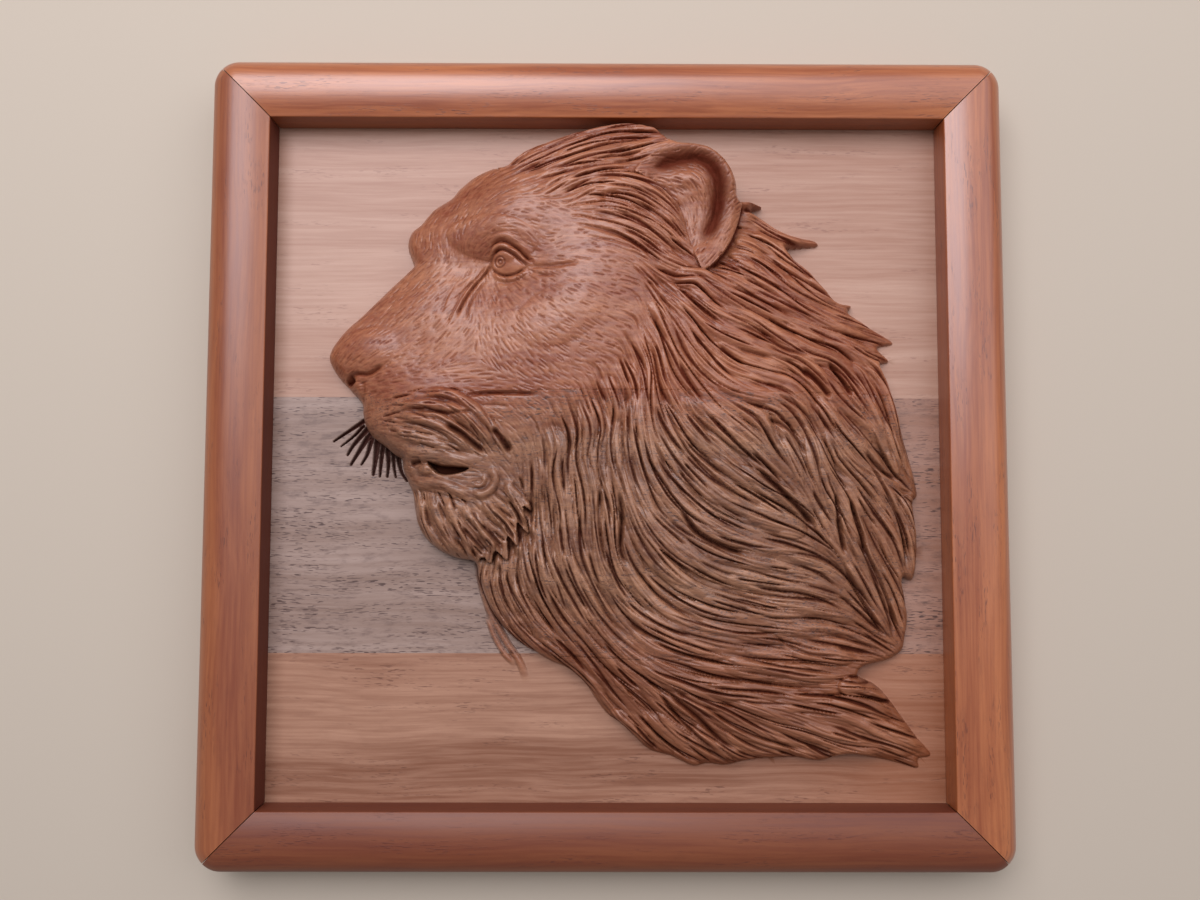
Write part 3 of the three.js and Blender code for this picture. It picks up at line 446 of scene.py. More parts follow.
# Whiskers of the far side, cut into the panel beside the lip: points, half width.
WHISKERS = [
    ([(-94.3, 14.8), (-101.1, 10.2), (-106.3, 6.6)], 0.9),
    ([(-94.9, 12.6), (-98.6, 8.6), (-103.5, 4.6)], 0.7),
    ([(-93.2, 11.5), (-98.4, 5.4), (-100.9, 1.3)], 1.1),
    ([(-92.3, 9.4), (-96.5, 2.6), (-99.5, -2.4)], 1.2),
    ([(-91.6, 7.4), (-93.2, 1.6), (-95.4, -2.4)], 1),
    ([(-89.3, 6.6), (-89.9, 0.2), (-90.8, -6.3)], 1.4),
    ([(-87.2, 5.2), (-87.8, -1.6), (-88.2, -7)], 1.1),
    ([(-85.2, 3.8), (-84.9, -2), (-85.3, -7.1)], 1.1),
    ([(-83.2, 2.2), (-82.7, -3.4), (-82, -7.3)], 0.9),
    ([(-81.2, 0.6), (-79.8, -5.2), (-77.6, -8.8)], 1),
]
# Loose hairs that lie on the panel beside the neck: points, half width, height.
LOOSE_HAIRS = [
    ([(-50.1, -40), (-45.6, -57), (-38.6, -70.2), (-33.3, -78), (-30.2, -86.5)], 1.6, 1.4),
    ([(-46, -60), (-43.2, -68), (-39.3, -74.8), (-34.5, -79.6)], 1.3, 1.1),
]


# Curves, distances and regions on an even grid.

class Grid:
    """An even grid of places over the panel, in millimetres."""

    def __init__(self, low, high, pitch):
        self.pitch = pitch
        self.low = np.array(low)
        self.columns, self.rows = np.round((np.array(high) - self.low) / pitch).astype(int) + 1
        self.x = low[0] + pitch * np.arange(self.columns)
        self.z = low[1] + pitch * np.arange(self.rows)

    def field(self, value=0.0):
        return np.full((self.rows, self.columns), value)

    def window(self, points, reach):
        """The rows and columns within reach of some points."""
        size = np.array([self.columns, self.rows])
        first = np.floor((points.min(axis=0) - reach - self.low) / self.pitch).astype(int)
        last = np.ceil((points.max(axis=0) + reach - self.low) / self.pitch).astype(int) + 1
        first = np.clip(first, 0, size)
        last = np.clip(last, first, size)
        return slice(first[1], last[1]), slice(first[0], last[0])


def even_steps(line, spacing):
    """A line's points, spaced evenly at about the given distance."""
    run = np.concatenate([[0], np.cumsum(np.hypot(*np.diff(line, axis=0).T))])
    at = np.linspace(0, run[-1], max(2, int(round(run[-1] / spacing))) + 1)
    return np.column_stack([np.interp(at, run, line[:, 0]), np.interp(at, run, line[:, 1])])


def smooth_curve(points, spacing, closed=False):
    """A Catmull-Rom curve through points, in even steps."""
    p = np.array(points, dtype=float)
    if closed:
        p = np.vstack([p[-1], p, p[0], p[1]])
    else:
        p = np.vstack([2 * p[0] - p[1], p, 2 * p[-1] - p[-2]])
    t = np.linspace(0, 1, 24, endpoint=False)[:, None]
    spans = [
        0.5 * (2 * b + (c - a) * t + (2 * a - 5 * b + 4 * c - d) * t ** 2 + (3 * b - a - 3 * c + d) * t ** 3)
        for a, b, c, d in zip(p, p[1:], p[2:], p[3:])
    ]
    return even_steps(np.vstack(spans + [p[-2]]), spacing)


def measure(grid, line, reach):
    """The window within reach of a line, and each place's distance to it and share along it."""
    rows, columns = grid.window(line, reach)
    gap = np.full((rows.stop - rows.start, columns.stop - columns.start), np.inf)
    along = np.zeros_like(gap)
    lengths = np.hypot(*np.diff(line, axis=0).T)
    run = np.concatenate([[0], np.cumsum(lengths)])
    for i, length in enumerate(lengths):
        r, c = grid.window(line[i:i + 2], reach)
        x = grid.x[c][None, :] - line[i, 0]
        z = grid.z[r][:, None] - line[i, 1]
        dx, dz = line[i + 1] - line[i]
        t = np.clip((x * dx + z * dz) / (length ** 2 + 1e-12), 0, 1)
        d = np.hypot(x - t * dx, z - t * dz)
        here = (slice(r.start - rows.start, r.stop - rows.start),
                slice(c.start - columns.start, c.stop - columns.start))
        nearer = d < gap[here]
        gap[here][nearer] = d[nearer]
        along[here][nearer] = (run[i] + t * length)[nearer]
    return (rows, columns), gap, along / run[-1]


def distance_field(grid, line, reach):
    """Each place's distance to a line, up to a reach."""
    window, gap, _ = measure(grid, line, reach)
    field = grid.field(reach)
    field[window] = np.minimum(gap, reach)
    return field


def inside(grid, polygon):
    """The places inside a closed polygon."""
    crossings = np.zeros((grid.rows, grid.columns), dtype=np.int32)
    for (ax, az), (bx, bz) in zip(polygon, np.roll(polygon, -1, axis=0)):
        if az == bz:
            continue
        rows = np.nonzero((grid.z >= min(az, bz)) & (grid.z < max(az, bz)))[0]
        cut = ax + (bx - ax) * (grid.z[rows] - az) / (bz - az)
        crossings[rows] += grid.x[None, :] > cut[:, None]
    return crossings % 2 == 1


def smooth_step(t):
    t = np.clip(t, 0, 1)
    return t * t * (3 - 2 * t)


def fade(along, root=0.18, tip=0.18):
    """Rises over the first share of a stroke's length and falls over its last."""
    return smooth_step(along / root) * smooth_step((1 - along) / tip)


def blurred(field, reach):
    """A field's mean over a square of places, reach to each side."""
    for axis in (0, 1):
        pad = [(0, 0), (0, 0)]
        pad[axis] = (reach + 1, reach)
        total = np.cumsum(np.pad(field, pad, mode="edge"), axis=axis)
        width = 2 * reach + 1
        after = np.take(total, range(width, total.shape[axis]), axis=axis)
        before = np.take(total, range(0, total.shape[axis] - width), axis=axis)
        field = (after - before) / width
    return field


def bend(squared):
    return squared * np.log(np.maximum(squared, 1e-12))


def thin_plate(grid, posts, unit=100.0, softness=0.002):
    """Heights of a thin plate bent through posts."""
    data = np.array(posts, dtype=float)
    p = data[:, :2] / unit
    n = len(p)
    system = np.zeros((n + 3, n + 3))
    system[:n, :n] = bend(((p[:, None] - p[None]) ** 2).sum(axis=2)) + softness * np.eye(n)
    system[:n, n:] = np.column_stack([np.ones(n), p])
    system[n:, :n] = system[:n, n:].T
    weights = np.linalg.solve(system, np.concatenate([data[:, 2], np.zeros(3)]))
    x = grid.x[None, :] / unit
    z = grid.z[:, None] / unit
    height = weights[n] + weights[n + 1] * x + weights[n + 2] * z
    for (px, pz), weight in zip(p, weights):
        height = height + weight * bend((x - px) ** 2 + (z - pz) ** 2)
    return height


# Hair: a field of directions, strokes that follow it, and the ways that a stroke marks the surface.

class Flow:
    """Directions blended from the lines near each place. A line and its reverse count as the same."""

    # Keeps the weight of a line finite on the line itself, in square millimetres.
    SOFTNESS = 1.5

    def __init__(self, grid, lines, step=1.0, sharpness=2.0):
        self.low, self.step = grid.low, step
        curves = [smooth_curve(line, 2.0) for line in lines]
        middles = np.vstack([(c[1:] + c[:-1]) / 2 for c in curves])
        ways = np.vstack([np.diff(c, axis=0) for c in curves])
        ways /= np.hypot(*ways.T)[:, None]
        angle = np.arctan2(ways[:, 1], ways[:, 0])
        parts = np.column_stack([ways, np.cos(2 * angle), np.sin(2 * angle)])
        x = np.arange(grid.low[0], grid.x[-1] + step, step)
        z = np.arange(grid.low[1], grid.z[-1] + step, step)
        blend = np.zeros((len(z), len(x), 4))
        for r, level in enumerate(z):
            squared = (x[:, None] - middles[None, :, 0]) ** 2 + (level - middles[None, :, 1]) ** 2
            blend[r] = (1 / (squared + self.SOFTNESS) ** sharpness) @ parts
        half = np.arctan2(blend[..., 3], blend[..., 2]) / 2
        u, w = np.cos(half), np.sin(half)
        sign = np.where(u * blend[..., 0] + w * blend[..., 1] < 0, -1, 1)
        self.u, self.w = (sign * u).tolist(), (sign * w).tolist()
        self.rows, self.columns = u.shape

    def at(self, x, z):
        c = int((x - self.low[0]) / self.step + 0.5)
        r = int((z - self.low[1]) / self.step + 0.5)
        if 0 <= r < self.rows and 0 <= c < self.columns:
            return self.u[r][c], self.w[r][c]
        return None


def disc(radius):
    n = np.arange(-math.ceil(radius), math.ceil(radius) + 1)
    return n[:, None] ** 2 + n[None, :] ** 2 <= radius ** 2


class Occupied:
    """Cells of a region that are free for a new stroke, and those that a stroke may still pass."""

    PER_SPACING = 5

    def __init__(self, grid, region, room, spacing):
        self.cell = spacing / self.PER_SPACING
        self.low = grid.low
        high = np.array([grid.x[-1], grid.z[-1]])
        self.columns, self.rows = ((high - grid.low) / self.cell).astype(int) + 1
        rows = np.minimum((np.arange(self.rows) * self.cell / grid.pitch).astype(int), grid.rows - 1)
        columns = np.minimum((np.arange(self.columns) * self.cell / grid.pitch).astype(int), grid.columns - 1)
        self.region = region[np.ix_(rows, columns)]
        self.room = room[np.ix_(rows, columns)]
        self.near = np.zeros_like(self.region)
        self.shut = np.zeros_like(self.region)
        self.discs = {}

    def index(self, x, z):
        return int((z - self.low[1]) / self.cell), int((x - self.low[0]) / self.cell)

    def open(self, x, z):
        r, c = self.index(x, z)
        return 0 <= r < self.rows and 0 <= c < self.columns and self.region[r, c] and not self.shut[r, c]

    def stamp(self, mask, x, z, radius):
        radius = round(radius * 2) / 2
        if radius not in self.discs:
            self.discs[radius] = disc(radius)
        shape = self.discs[radius]
        n = shape.shape[0] // 2
        r, c = self.index(x, z)
        r0, c0 = max(0, r - n), max(0, c - n)
        r1, c1 = min(self.rows, r + n + 1), min(self.columns, c + n + 1)
        mask[r0:r1, c0:c1] |= shape[r0 - r + n:r1 - r + n, c0 - c + n:c1 - c + n]

    def take(self, line, crowding):
        for x, z in line:
            r, c = self.index(x, z)
            room = self.room[r, c] * self.PER_SPACING
            self.stamp(self.near, x, z, room)
            self.stamp(self.shut, x, z, room * crowding)


def strokes(grid, flow, region, room, spacing, lengths, seed, wobble=6.0, crowding=0.5):
    """Strokes along a flow, about evenly spaced. Each ends where it would run into another. Spacing and the
    least and greatest length are in millimetres, and a stroke swings off the flow by up to the wobble in
    degrees. It may come as near to another as the crowding's share of the spacing."""
    rng = np.random.default_rng(seed)
    cells = Occupied(grid, region, room, spacing)
    starts = np.argwhere(cells.region[::3, ::3]) * 3
    rng.shuffle(starts)
    step = spacing / 2.5
    found = []
    for r, c in starts:
        if cells.near[r, c]:
            continue
        start = grid.low + (np.array([c, r]) + rng.random(2)) * cells.cell
        swing, lean = math.radians(wobble) * rng.uniform([0.4, -0.5], [1, 0.5])
        wave, phase = rng.uniform(25, 60), rng.uniform(0, 2 * math.pi)
        limit = rng.uniform(*lengths) / 2
        halves = []
        for way in (-1, 1):
            x, z = start
            run, half, last = 0.0, [], None
            while run < limit:
                direction = flow.at(x, z)
                if direction is None:
                    break
                u, w = direction
                if last and u * last[0] + w * last[1] < 0:
                    u, w = -u, -w
                last = (u, w)
                turn = lean + swing * math.sin(2 * math.pi * way * run / wave + phase)
                x += way * step * (u * math.cos(turn) - w * math.sin(turn))
                z += way * step * (u * math.sin(turn) + w * math.cos(turn))
                if not cells.open(x, z):
                    break
                half.append((x, z))
                run += step
            halves.append(half)
        line = np.array(halves[0][::-1] + [tuple(start)] + halves[1])
        if len(line) < 4 or len(line) * step < 0.6 * lengths[0]:
            cells.near[r, c] = True
            continue
        cells.take(line, crowding)
        line[1:-1] = (line[:-2] + 2 * line[1:-1] + line[2:]) / 4
        found.append(line)
    return found


def press(grid, fields, points, halves, mark):
    """Raises the first field to the mark that a tool leaves round each of its points. The other fields take
    what the winning point carries there."""
    reach = int(math.ceil(halves.max() / grid.pitch))
    column, row = np.round((points - grid.low) / grid.pitch).astype(int).T
    flat = [field.reshape(-1) for field in fields]
    for i in range(-reach, reach + 1):
        for j in range(-reach, reach + 1):
            r, c = row + i, column + j
            dx = grid.low[0] + c * grid.pitch - points[:, 0]
            dz = grid.low[1] + r * grid.pitch - points[:, 1]
            gap = np.hypot(dx, dz) / halves
            hit = np.nonzero((gap < 1) & (r >= 0) & (r < grid.rows) & (c >= 0) & (c < grid.columns))[0]
            if len(hit) == 0:
                continue
            places = r[hit] * grid.columns + c[hit]
            values, *carried = mark(hit, gap[hit], dx[hit], dz[hit])
            np.maximum.at(flat[0], places, values)
            won = flat[0][places] == values
            for target, source in zip(flat[1:], carried):
                target[places[won]] = source[won]


def headings(line):
    way = np.gradient(line, axis=0)
    return way / (np.hypot(*way.T)[:, None] + 1e-9)


def cut_strokes(grid, lines, rng, half, depth, spread, power=1.6, root=0.25, tip=0.35, steep=1.0):
    """Depths of V-shaped cuts along lines, each with its own width and depth, tapering to both ends. A steep
    cut falls faster on one side than on the other, so that one lock lies over the next like a shingle."""
    points, ways, halves, depths, sides = [], [], [], [], []
    for line in lines:
        line = even_steps(line, half / 2.5)
        ends = fade(np.linspace(0, 1, len(line)), root, tip)
        width, deep = rng.uniform(1 - spread, 1 + spread, 2)
        points.append(line)
        ways.append(headings(line))
        halves.append(half * width * (0.45 + 0.55 * ends))
        depths.append(depth * deep * ends)
        sides.append(np.full(len(line), rng.choice((-1, 1), p=(0.3, 0.7))))
    field = grid.field()
    ways = np.vstack(ways)
    depths, sides = np.concatenate(depths), np.concatenate(sides)

    def groove(hit, gap, dx, dz):
        across = (dx * ways[hit, 1] - dz * ways[hit, 0]) * sides[hit]
        gap = np.where(across > 0, np.minimum(1, steep * gap), gap)
        return (depths[hit] * (1 - gap) ** power,)

    press(grid, [field], np.vstack(points), np.concatenate(halves), groove)
    return field


def rounded_strokes(grid, lines, rng, halves, lift, tilt, power=2.0, root=0.2, tip=0.4):
    """Backs of strands laid side by side and over one another: -1 in the gaps, 0 to 1 on top. Also each
    place's run along its strand, distance across it and number of the strand."""
    points, widths, lifts, ways, tilts, runs, numbers = [], [], [], [], [], [], []
    for number, line in enumerate(lines):
        half = rng.uniform(*halves)
        step = half / 5
        line = even_steps(line, step)
        along = np.linspace(0, 1, len(line))
        ends = smooth_step(along / root) * smooth_step((1 - along) / tip)
        points.append(line)
        widths.append(half * (0.12 + 0.88 * ends ** 0.6))
        lifts.append((1 + rng.uniform(*lift)) * ends - 1)
        ways.append(headings(line))
        tilts.append(np.full(len(line), rng.uniform(-tilt, tilt)))
        runs.append(step * np.arange(len(line)))
        numbers.append(np.full(len(line), float(number)))
    widths, lifts, tilts = np.concatenate(widths), np.concatenate(lifts), np.concatenate(tilts)
    runs, numbers, ways = np.concatenate(runs), np.concatenate(numbers), np.vstack(ways)

    def back(hit, gap, dx, dz):
        across = dx * ways[hit, 1] - dz * ways[hit, 0]
        top = lifts[hit] - gap ** power + tilts[hit] * across / widths[hit]
        return top, runs[hit], across, numbers[hit]

    field = grid.field(-1.0)
    place = [grid.field() for _ in range(3)]
    press(grid, [field, *place], np.vstack(points), widths, back)
    return field, np.stack(place)


def rooted(lines, flow_lines):
    """The lines, each turned to run the way that the nearest of the given lines does."""
    curves = [smooth_curve(line, 4.0) for line in flow_lines]
    middles = np.vstack([(c[1:] + c[:-1]) / 2 for c in curves])
    ways = np.vstack([np.diff(c, axis=0) for c in curves])
    turned = []
    for line in lines:
        middle = line[len(line) // 2]
        nearest = np.argmin(((middles - middle) ** 2).sum(axis=1))
        turned.append(line if (line[-1] - line[0]) @ ways[nearest] >= 0 else line[::-1])
    return turned


# The carving.

# Heights less than this from the panel count as flat ground.
FLAT = 1e-6
# How far round a place its mean height is taken, to tell hollows and tops.
MEAN_REACH = 1.4


class Carving:
    """Heights of the carved surface above the panel, in millimetres, and the marks that colour it, painted
    shade and highlight among them.
    """

    def __init__(self, settings, low, high, pitch):
        self.settings = settings
        self.grid = grid = Grid(low, high, pitch)
        self.rng = np.random.default_rng(settings.seed)
        outline = smooth_curve(OUTLINE, 0.6, closed=True)
        self.head = inside(grid, outline)
        gap = distance_field(grid, outline, 8.0)
        self.depth = np.where(self.head, gap, -gap)
        hairline = smooth_curve(HAIRLINE, 1.0)
        mane_side = inside(grid, np.vstack([hairline, BEYOND_HAIRLINE]))
        self.ear = inside(grid, smooth_curve(EAR, 1.0, closed=True)) & mane_side
        self.mane = mane_side & ~self.ear
        self.face = self.head & ~mane_side
        self.from_hairline = distance_field(grid, hairline, 12.0)
        self.eye = inside(grid, smooth_curve(EYE_OPENING, 0.6, closed=True))
        # Painted shade, gathered from cuts, mouth, eye rings, hair and whiskers.
        self.painted_darkness = grid.field()
        self.loose = grid.field()
        self.height = thin_plate(grid, POSTS)
        self.model_forms()
        self.lay_hair()
        self.cut_fur()
        self.model_eye()
        self.meet_panel()

    def model_forms(self):
        """Swellings, raised and cut strokes, and the ledges where one form stands over the next."""
        grid = self.grid
        for middle_x, middle_z, half, breadth, turn, rise in SWELLINGS:
            c, s = math.cos(math.radians(turn)), math.sin(math.radians(turn))
            x = grid.x[None, :] - middle_x
            z = grid.z[:, None] - middle_z
            share = ((x * c + z * s) / half) ** 2 + ((z * c - x * s) / breadth) ** 2
            self.height += rise * np.maximum(0, 1 - share) ** 0.75
        for points, half, rise in RIDGES:
            window, gap, along = measure(grid, smooth_curve(points, 0.8), half)
            self.height[window] += rise * fade(along) * np.maximum(0, 1 - (gap / half) ** 2)
        for points, half, depth in CUTS:
            window, gap, along = measure(grid, smooth_curve(points, 0.8), half)
            cut = depth * fade(along) * np.maximum(0, 1 - gap / half) ** 1.2
            self.height[window] -= cut
            # Painted shade in the bottom of each cut.
            self.painted_darkness[window] = np.maximum(self.painted_darkness[window], np.minimum(1, cut / 2.2))
        for name, region in (("mane", self.mane), ("ear", self.ear)):
            for points, drop, reach in LEDGES[name]:
                window, gap, along = measure(grid, smooth_curve(points, 0.8), 4 * reach)
                fall = drop * fade(along) * np.exp(-gap / reach)
                self.height[window] -= np.where(region[window], fall, 0)
        mouth = smooth_curve(MOUTH_OPENING, 0.6, closed=True)
        within = np.where(inside(grid, mouth), distance_field(grid, mouth, 3.0), 0)
        self.height -= MOUTH_DEPTH * smooth_step(within / 1.1)
        # Painted shade inside the mouth.
        self.painted_darkness = np.maximum(self.painted_darkness, smooth_step(within / 1.3))

    def lay_hair(self):
        """Locks, the strands on them, deep cuts between strands and fine lines along them."""
        s, grid, rng = self.settings, self.grid, self.rng
        flow = Flow(grid, HAIR_LINES + FUR_LINES[:FACE_LINES])
        region = self.mane & (self.depth > -1.2)
        # A few strokes start in the fur of the face, so that the hair has no hard edge.
        meeting = self.face & (self.from_hairline < MEETING) & (self.depth > 2) & ~self.eye
        room = 0.8 + 0.4 * smooth_step((grid.x[None, :] - 0.3 * grid.z[:, None] + 5) / 60)
        lock_lines = strokes(grid, flow, region, room, s.lock_spacing / MM, (30, 95), s.seed + 1, 5)
        lock_lines = rooted(lock_lines, HAIR_LINES) + [smooth_curve(line, 2.0) for line in HAIR_LINES]
        locks, _ = rounded_strokes(grid, lock_lines, rng, (3.2, 5.4), (0.2, 1.3), 0.5, 1.6)
        strand_lines = strokes(grid, flow, region, room, s.strand_spacing / MM, (20, 80), s.seed + 2, 6)
        strand_lines = rooted(strand_lines, HAIR_LINES)
        strands, self.hair = rounded_strokes(grid, strand_lines, rng, (1.4, 2.3), (0, 0.9), 0.4, 1.5)
        hairy = region | meeting
        cut_lines = strokes(grid, flow, hairy, room, s.cut_spacing / MM, (14, 75), s.seed + 3, 7, 0.42)
        cut_lines = rooted(cut_lines, HAIR_LINES)
        cuts = cut_strokes(grid, cut_lines, rng, 1.1, s.cut_depth / MM, 0.45, 1.3, steep=2.0)
        slit_lines = strokes(grid, flow, region, room, s.slit_spacing / MM, (18, 60), s.seed + 9, 6)
        slits = cut_strokes(grid, rooted(slit_lines, HAIR_LINES), rng, 0.6, s.slit_depth / MM, 0.35, 1.0)
        fine_lines = strokes(grid, flow, hairy, room, s.line_spacing / MM, (8, 42), s.seed + 4, 8)
        fine = cut_strokes(grid, fine_lines, rng, 0.45, s.line_depth / MM, 0.5, 1.2)
        rooted_in = smooth_step(self.from_hairline / 9.0)
        hair = s.lock_rise / MM * (locks - 0.1) + s.strand_rise / MM * (strands - 0.2)
        hair = np.where(self.mane, hair * rooted_in, 0)
        before = 0.5 * smooth_step(1 - self.from_hairline / MEETING)
        started = np.where(self.mane, 0.5 + 0.5 * rooted_in, before)
        started = np.where(self.mane | meeting, started, 0)
        self.height += hair - started * (cuts + fine + slits)
        # Painted shade in the deep cuts, slits and fine lines, and in the gaps between strands.
        marks = smooth_step((cuts / (s.cut_depth / MM) - 0.35) / 0.5) + 0.3 * fine / (s.line_depth / MM)
        marks += smooth_step(1.4 * slits / (s.slit_depth / MM))
        marks = started * marks + np.where(self.mane, 0.3 * np.maximum(0, -strands) * rooted_in, 0)
        self.painted_darkness = np.maximum(self.painted_darkness, np.minimum(1, marks))

    def cut_fur(self):
        """Short shallow strokes on the face and ear, and the thicker hair of whisker pad and beard."""
        s, grid, rng = self.settings, self.grid, self.rng
        flow = Flow(grid, FUR_LINES + [points for points, _, _ in RIDGES if points[0][1] < UNDER_NOSE])
        even = grid.field(1.0)
        pad = inside(grid, smooth_curve(WHISKER_PAD, 1.0, closed=True))
        beard = inside(grid, smooth_curve(BEARD, 1.0, closed=True)) & self.face
        for region, spacing, half, depth, seed in ((pad, 1.7, 0.8, 1.0, 5), (beard, 2.1, 1.1, 1.6, 6)):
            lines = strokes(grid, flow, region, even, spacing, (6, 20), s.seed + seed, 9, 0.45)
            cuts = cut_strokes(grid, lines, rng, half, depth, 0.4, steep=1.8)
            self.height -= np.where(region, cuts, 0)
            # Painted shade in the cuts of the whisker pad and beard.
            dark = np.where(region, smooth_step(1.1 * cuts / depth - 0.1), 0)
            self.painted_darkness = np.maximum(self.painted_darkness, dark)
        short_fur = (self.face | self.ear) & self.head & ~self.eye
        tuft_lines = strokes(grid, flow, short_fur, even, s.tuft_spacing / MM, (7, 20), s.seed + 7, 7, 0.5)
        tufts, place = rounded_strokes(grid, tuft_lines, rng, (1.0, 1.9), (0, 0.8), 0.5, 1.5)
        self.hair = np.where(short_fur, place + FUR_START, self.hair)
        lines = strokes(grid, flow, short_fur, even, s.fur_spacing / MM, (3, 9), s.seed + 8, 10, 0.6)
        fur = cut_strokes(grid, lines, rng, 0.4, s.fur_depth / MM, 0.6, 1.0)
        share = np.where(short_fur, np.where(self.ear, 1.6, 1) * smooth_step(self.from_hairline / 3.5), 0)
        self.height -= share * (fur + s.tuft_rise / MM * (0.2 - tufts))
        # Painted shade in the short strokes of the fur.
        self.painted_darkness = np.maximum(self.painted_darkness, np.minimum(0.6, 1.8 * share * fur))

    def model_eye(self):
        """Rings of the iris and the pupil."""
        for middle_x, middle_z, radius, half, depth in EYE_RINGS:
            gap = np.hypot(self.grid.x[None, :] - middle_x, self.grid.z[:, None] - middle_z)
            ring = np.maximum(0, 1 - np.abs(gap - radius) / half)
            self.height -= depth * ring
            # Painted shade in the rings of iris and pupil.
            self.painted_darkness = np.maximum(self.painted_darkness, 0.8 * ring)

    def meet_panel(self):
        """Rounds the head down to the panel, and cuts the whiskers into it."""
        grid = self.grid
        radius = np.where(self.mane, 0.65, 1) * self.settings.edge_radius / MM
        share = np.clip(self.depth / radius, 0, 1)
        self.height = np.maximum(0, self.height) * np.sqrt(1 - (1 - share) ** 2)
        self.height[~self.head] = 0
        self.painted_darkness[~self.head] = 0
        for points, half in WHISKERS:
            window, gap, along = measure(grid, smooth_curve(points, 1.0), half)
            cut = np.maximum(0, 1 - gap / (half * (1.05 - 0.6 * along))) ** 0.6
            cut = np.where(self.head[window], 0, cut)
            self.height[window] -= WHISKER_DEPTH * cut
            # Painted shade in the whisker cuts.
            self.painted_darkness[window] = np.maximum(self.painted_darkness[window], np.minimum(1, 2 * cut))
        for points, half, rise in LOOSE_HAIRS:
            window, gap, along = measure(grid, smooth_curve(points, 1.0), half)
            hair = fade(along) * np.maximum(0, 1 - (gap / half) ** 2)
            hair = np.where(self.head[window], 0, hair)
            self.height[window] += rise * hair
            self.loose[window] = np.maximum(self.loose[window], hair)

    def marks(self):
        """Shares from 0 to 1 that colour the wood: how much a place is carved, how much painted shade it
        takes in cuts and hollows, and how much it is a rubbed top with a painted highlight. Hollows and tops
        are told by how far they lie under or over the mean of the places round them."""
        reach = int(round(MEAN_REACH / self.grid.pitch))
        above = self.height - blurred(self.height, reach)
        touched = np.abs(self.height) > FLAT
        # Painted shade: in the cuts, and wherever a place lies under the mean round it.
        painted_shade = np.where(touched, np.clip(np.maximum(self.painted_darkness, -above / 1.3), 0, 1), 0)
        return {
            "carved": np.where(touched, np.maximum(smooth_step((self.depth + 0.6) / 1.2), self.loose), 0),
            "painted_shade": painted_shade,
            # Tops are rubbed glossier and get a painted highlight.
            "rubbed_top_and_highlight": np.where(touched, np.clip(above / 0.7, 0, 1) * (1 - painted_shade), 0),
        }


# Meshes and materials.

def linear(code):
    """A linear colour from an sRGB hex code."""
    shares = [int(code[i:i + 2], 16) / 255 for i in (1, 3, 5)]
    return tuple(s / 12.92 if s <= 0.04045 else ((s + 0.055) / 1.055) ** 2.4 for s in shares)


def add(tree, kind, inputs=(), **settings):
    """Adds a node with its settings. Each input is a socket's name or number with a value or an output."""
    node = tree.nodes.new(kind)
    count = len(tree.nodes) - 1
    node.location = (220 * (count % 8), -260 * (count // 8))
    for name, value in settings.items():
        setattr(node, name, value)
    for socket, value in inputs:
        if isinstance(value, bpy.types.NodeSocket):
            tree.links.new(value, node.inputs[socket])
        else:
            node.inputs[socket].default_value = value
    return node


def link_object(name, mesh):
    piece = bpy.data.objects.new(name, mesh)
    bpy.context.scene.collection.objects.link(piece)
    return piece


def finished(piece):
    """The piece with its modifiers made part of its mesh."""
    bpy.context.view_layer.update()
    graph = bpy.context.evaluated_depsgraph_get()
    mesh = bpy.data.meshes.new_from_object(piece.evaluated_get(graph))
    piece.modifiers.clear()
    piece.data = mesh
    return piece


def noise(tree, place, size, detail, roughness=0.55):
    """Noise whose features are about the given size in millimetres along each axis of a place."""
    scaled = add(tree, "ShaderNodeMapping", [("Vector", place), ("Scale", [1 / (MM * s) for s in size])])
    return add(tree, "ShaderNodeTexNoise", [
        ("Vector", scaled.outputs[0]), ("Scale", 1.0), ("Detail", detail), ("Roughness", roughness),
    ]).outputs[0]


def between(tree, value, low, high):
    """A value's share of the way from low to high, kept from 0 to 1."""
    return add(tree, "ShaderNodeMapRange", [
        ("Value", value), ("From Min", low), ("From Max", high),
    ], interpolation_type="SMOOTHSTEP").outputs[0]


def mixed(tree, share, first, second):
    """A colour the given share of the way from the first to the second."""
    mix = add(tree, "ShaderNodeMix", [(0, share), (6, first), (7, second)], data_type="RGBA")
    return mix.outputs[2]


def maths(tree, operation, first, second=0.0, third=0.0):
    inputs = [(0, first), (1, second), (2, third)]
    return add(tree, "ShaderNodeMath", inputs, operation=operation).outputs[0]


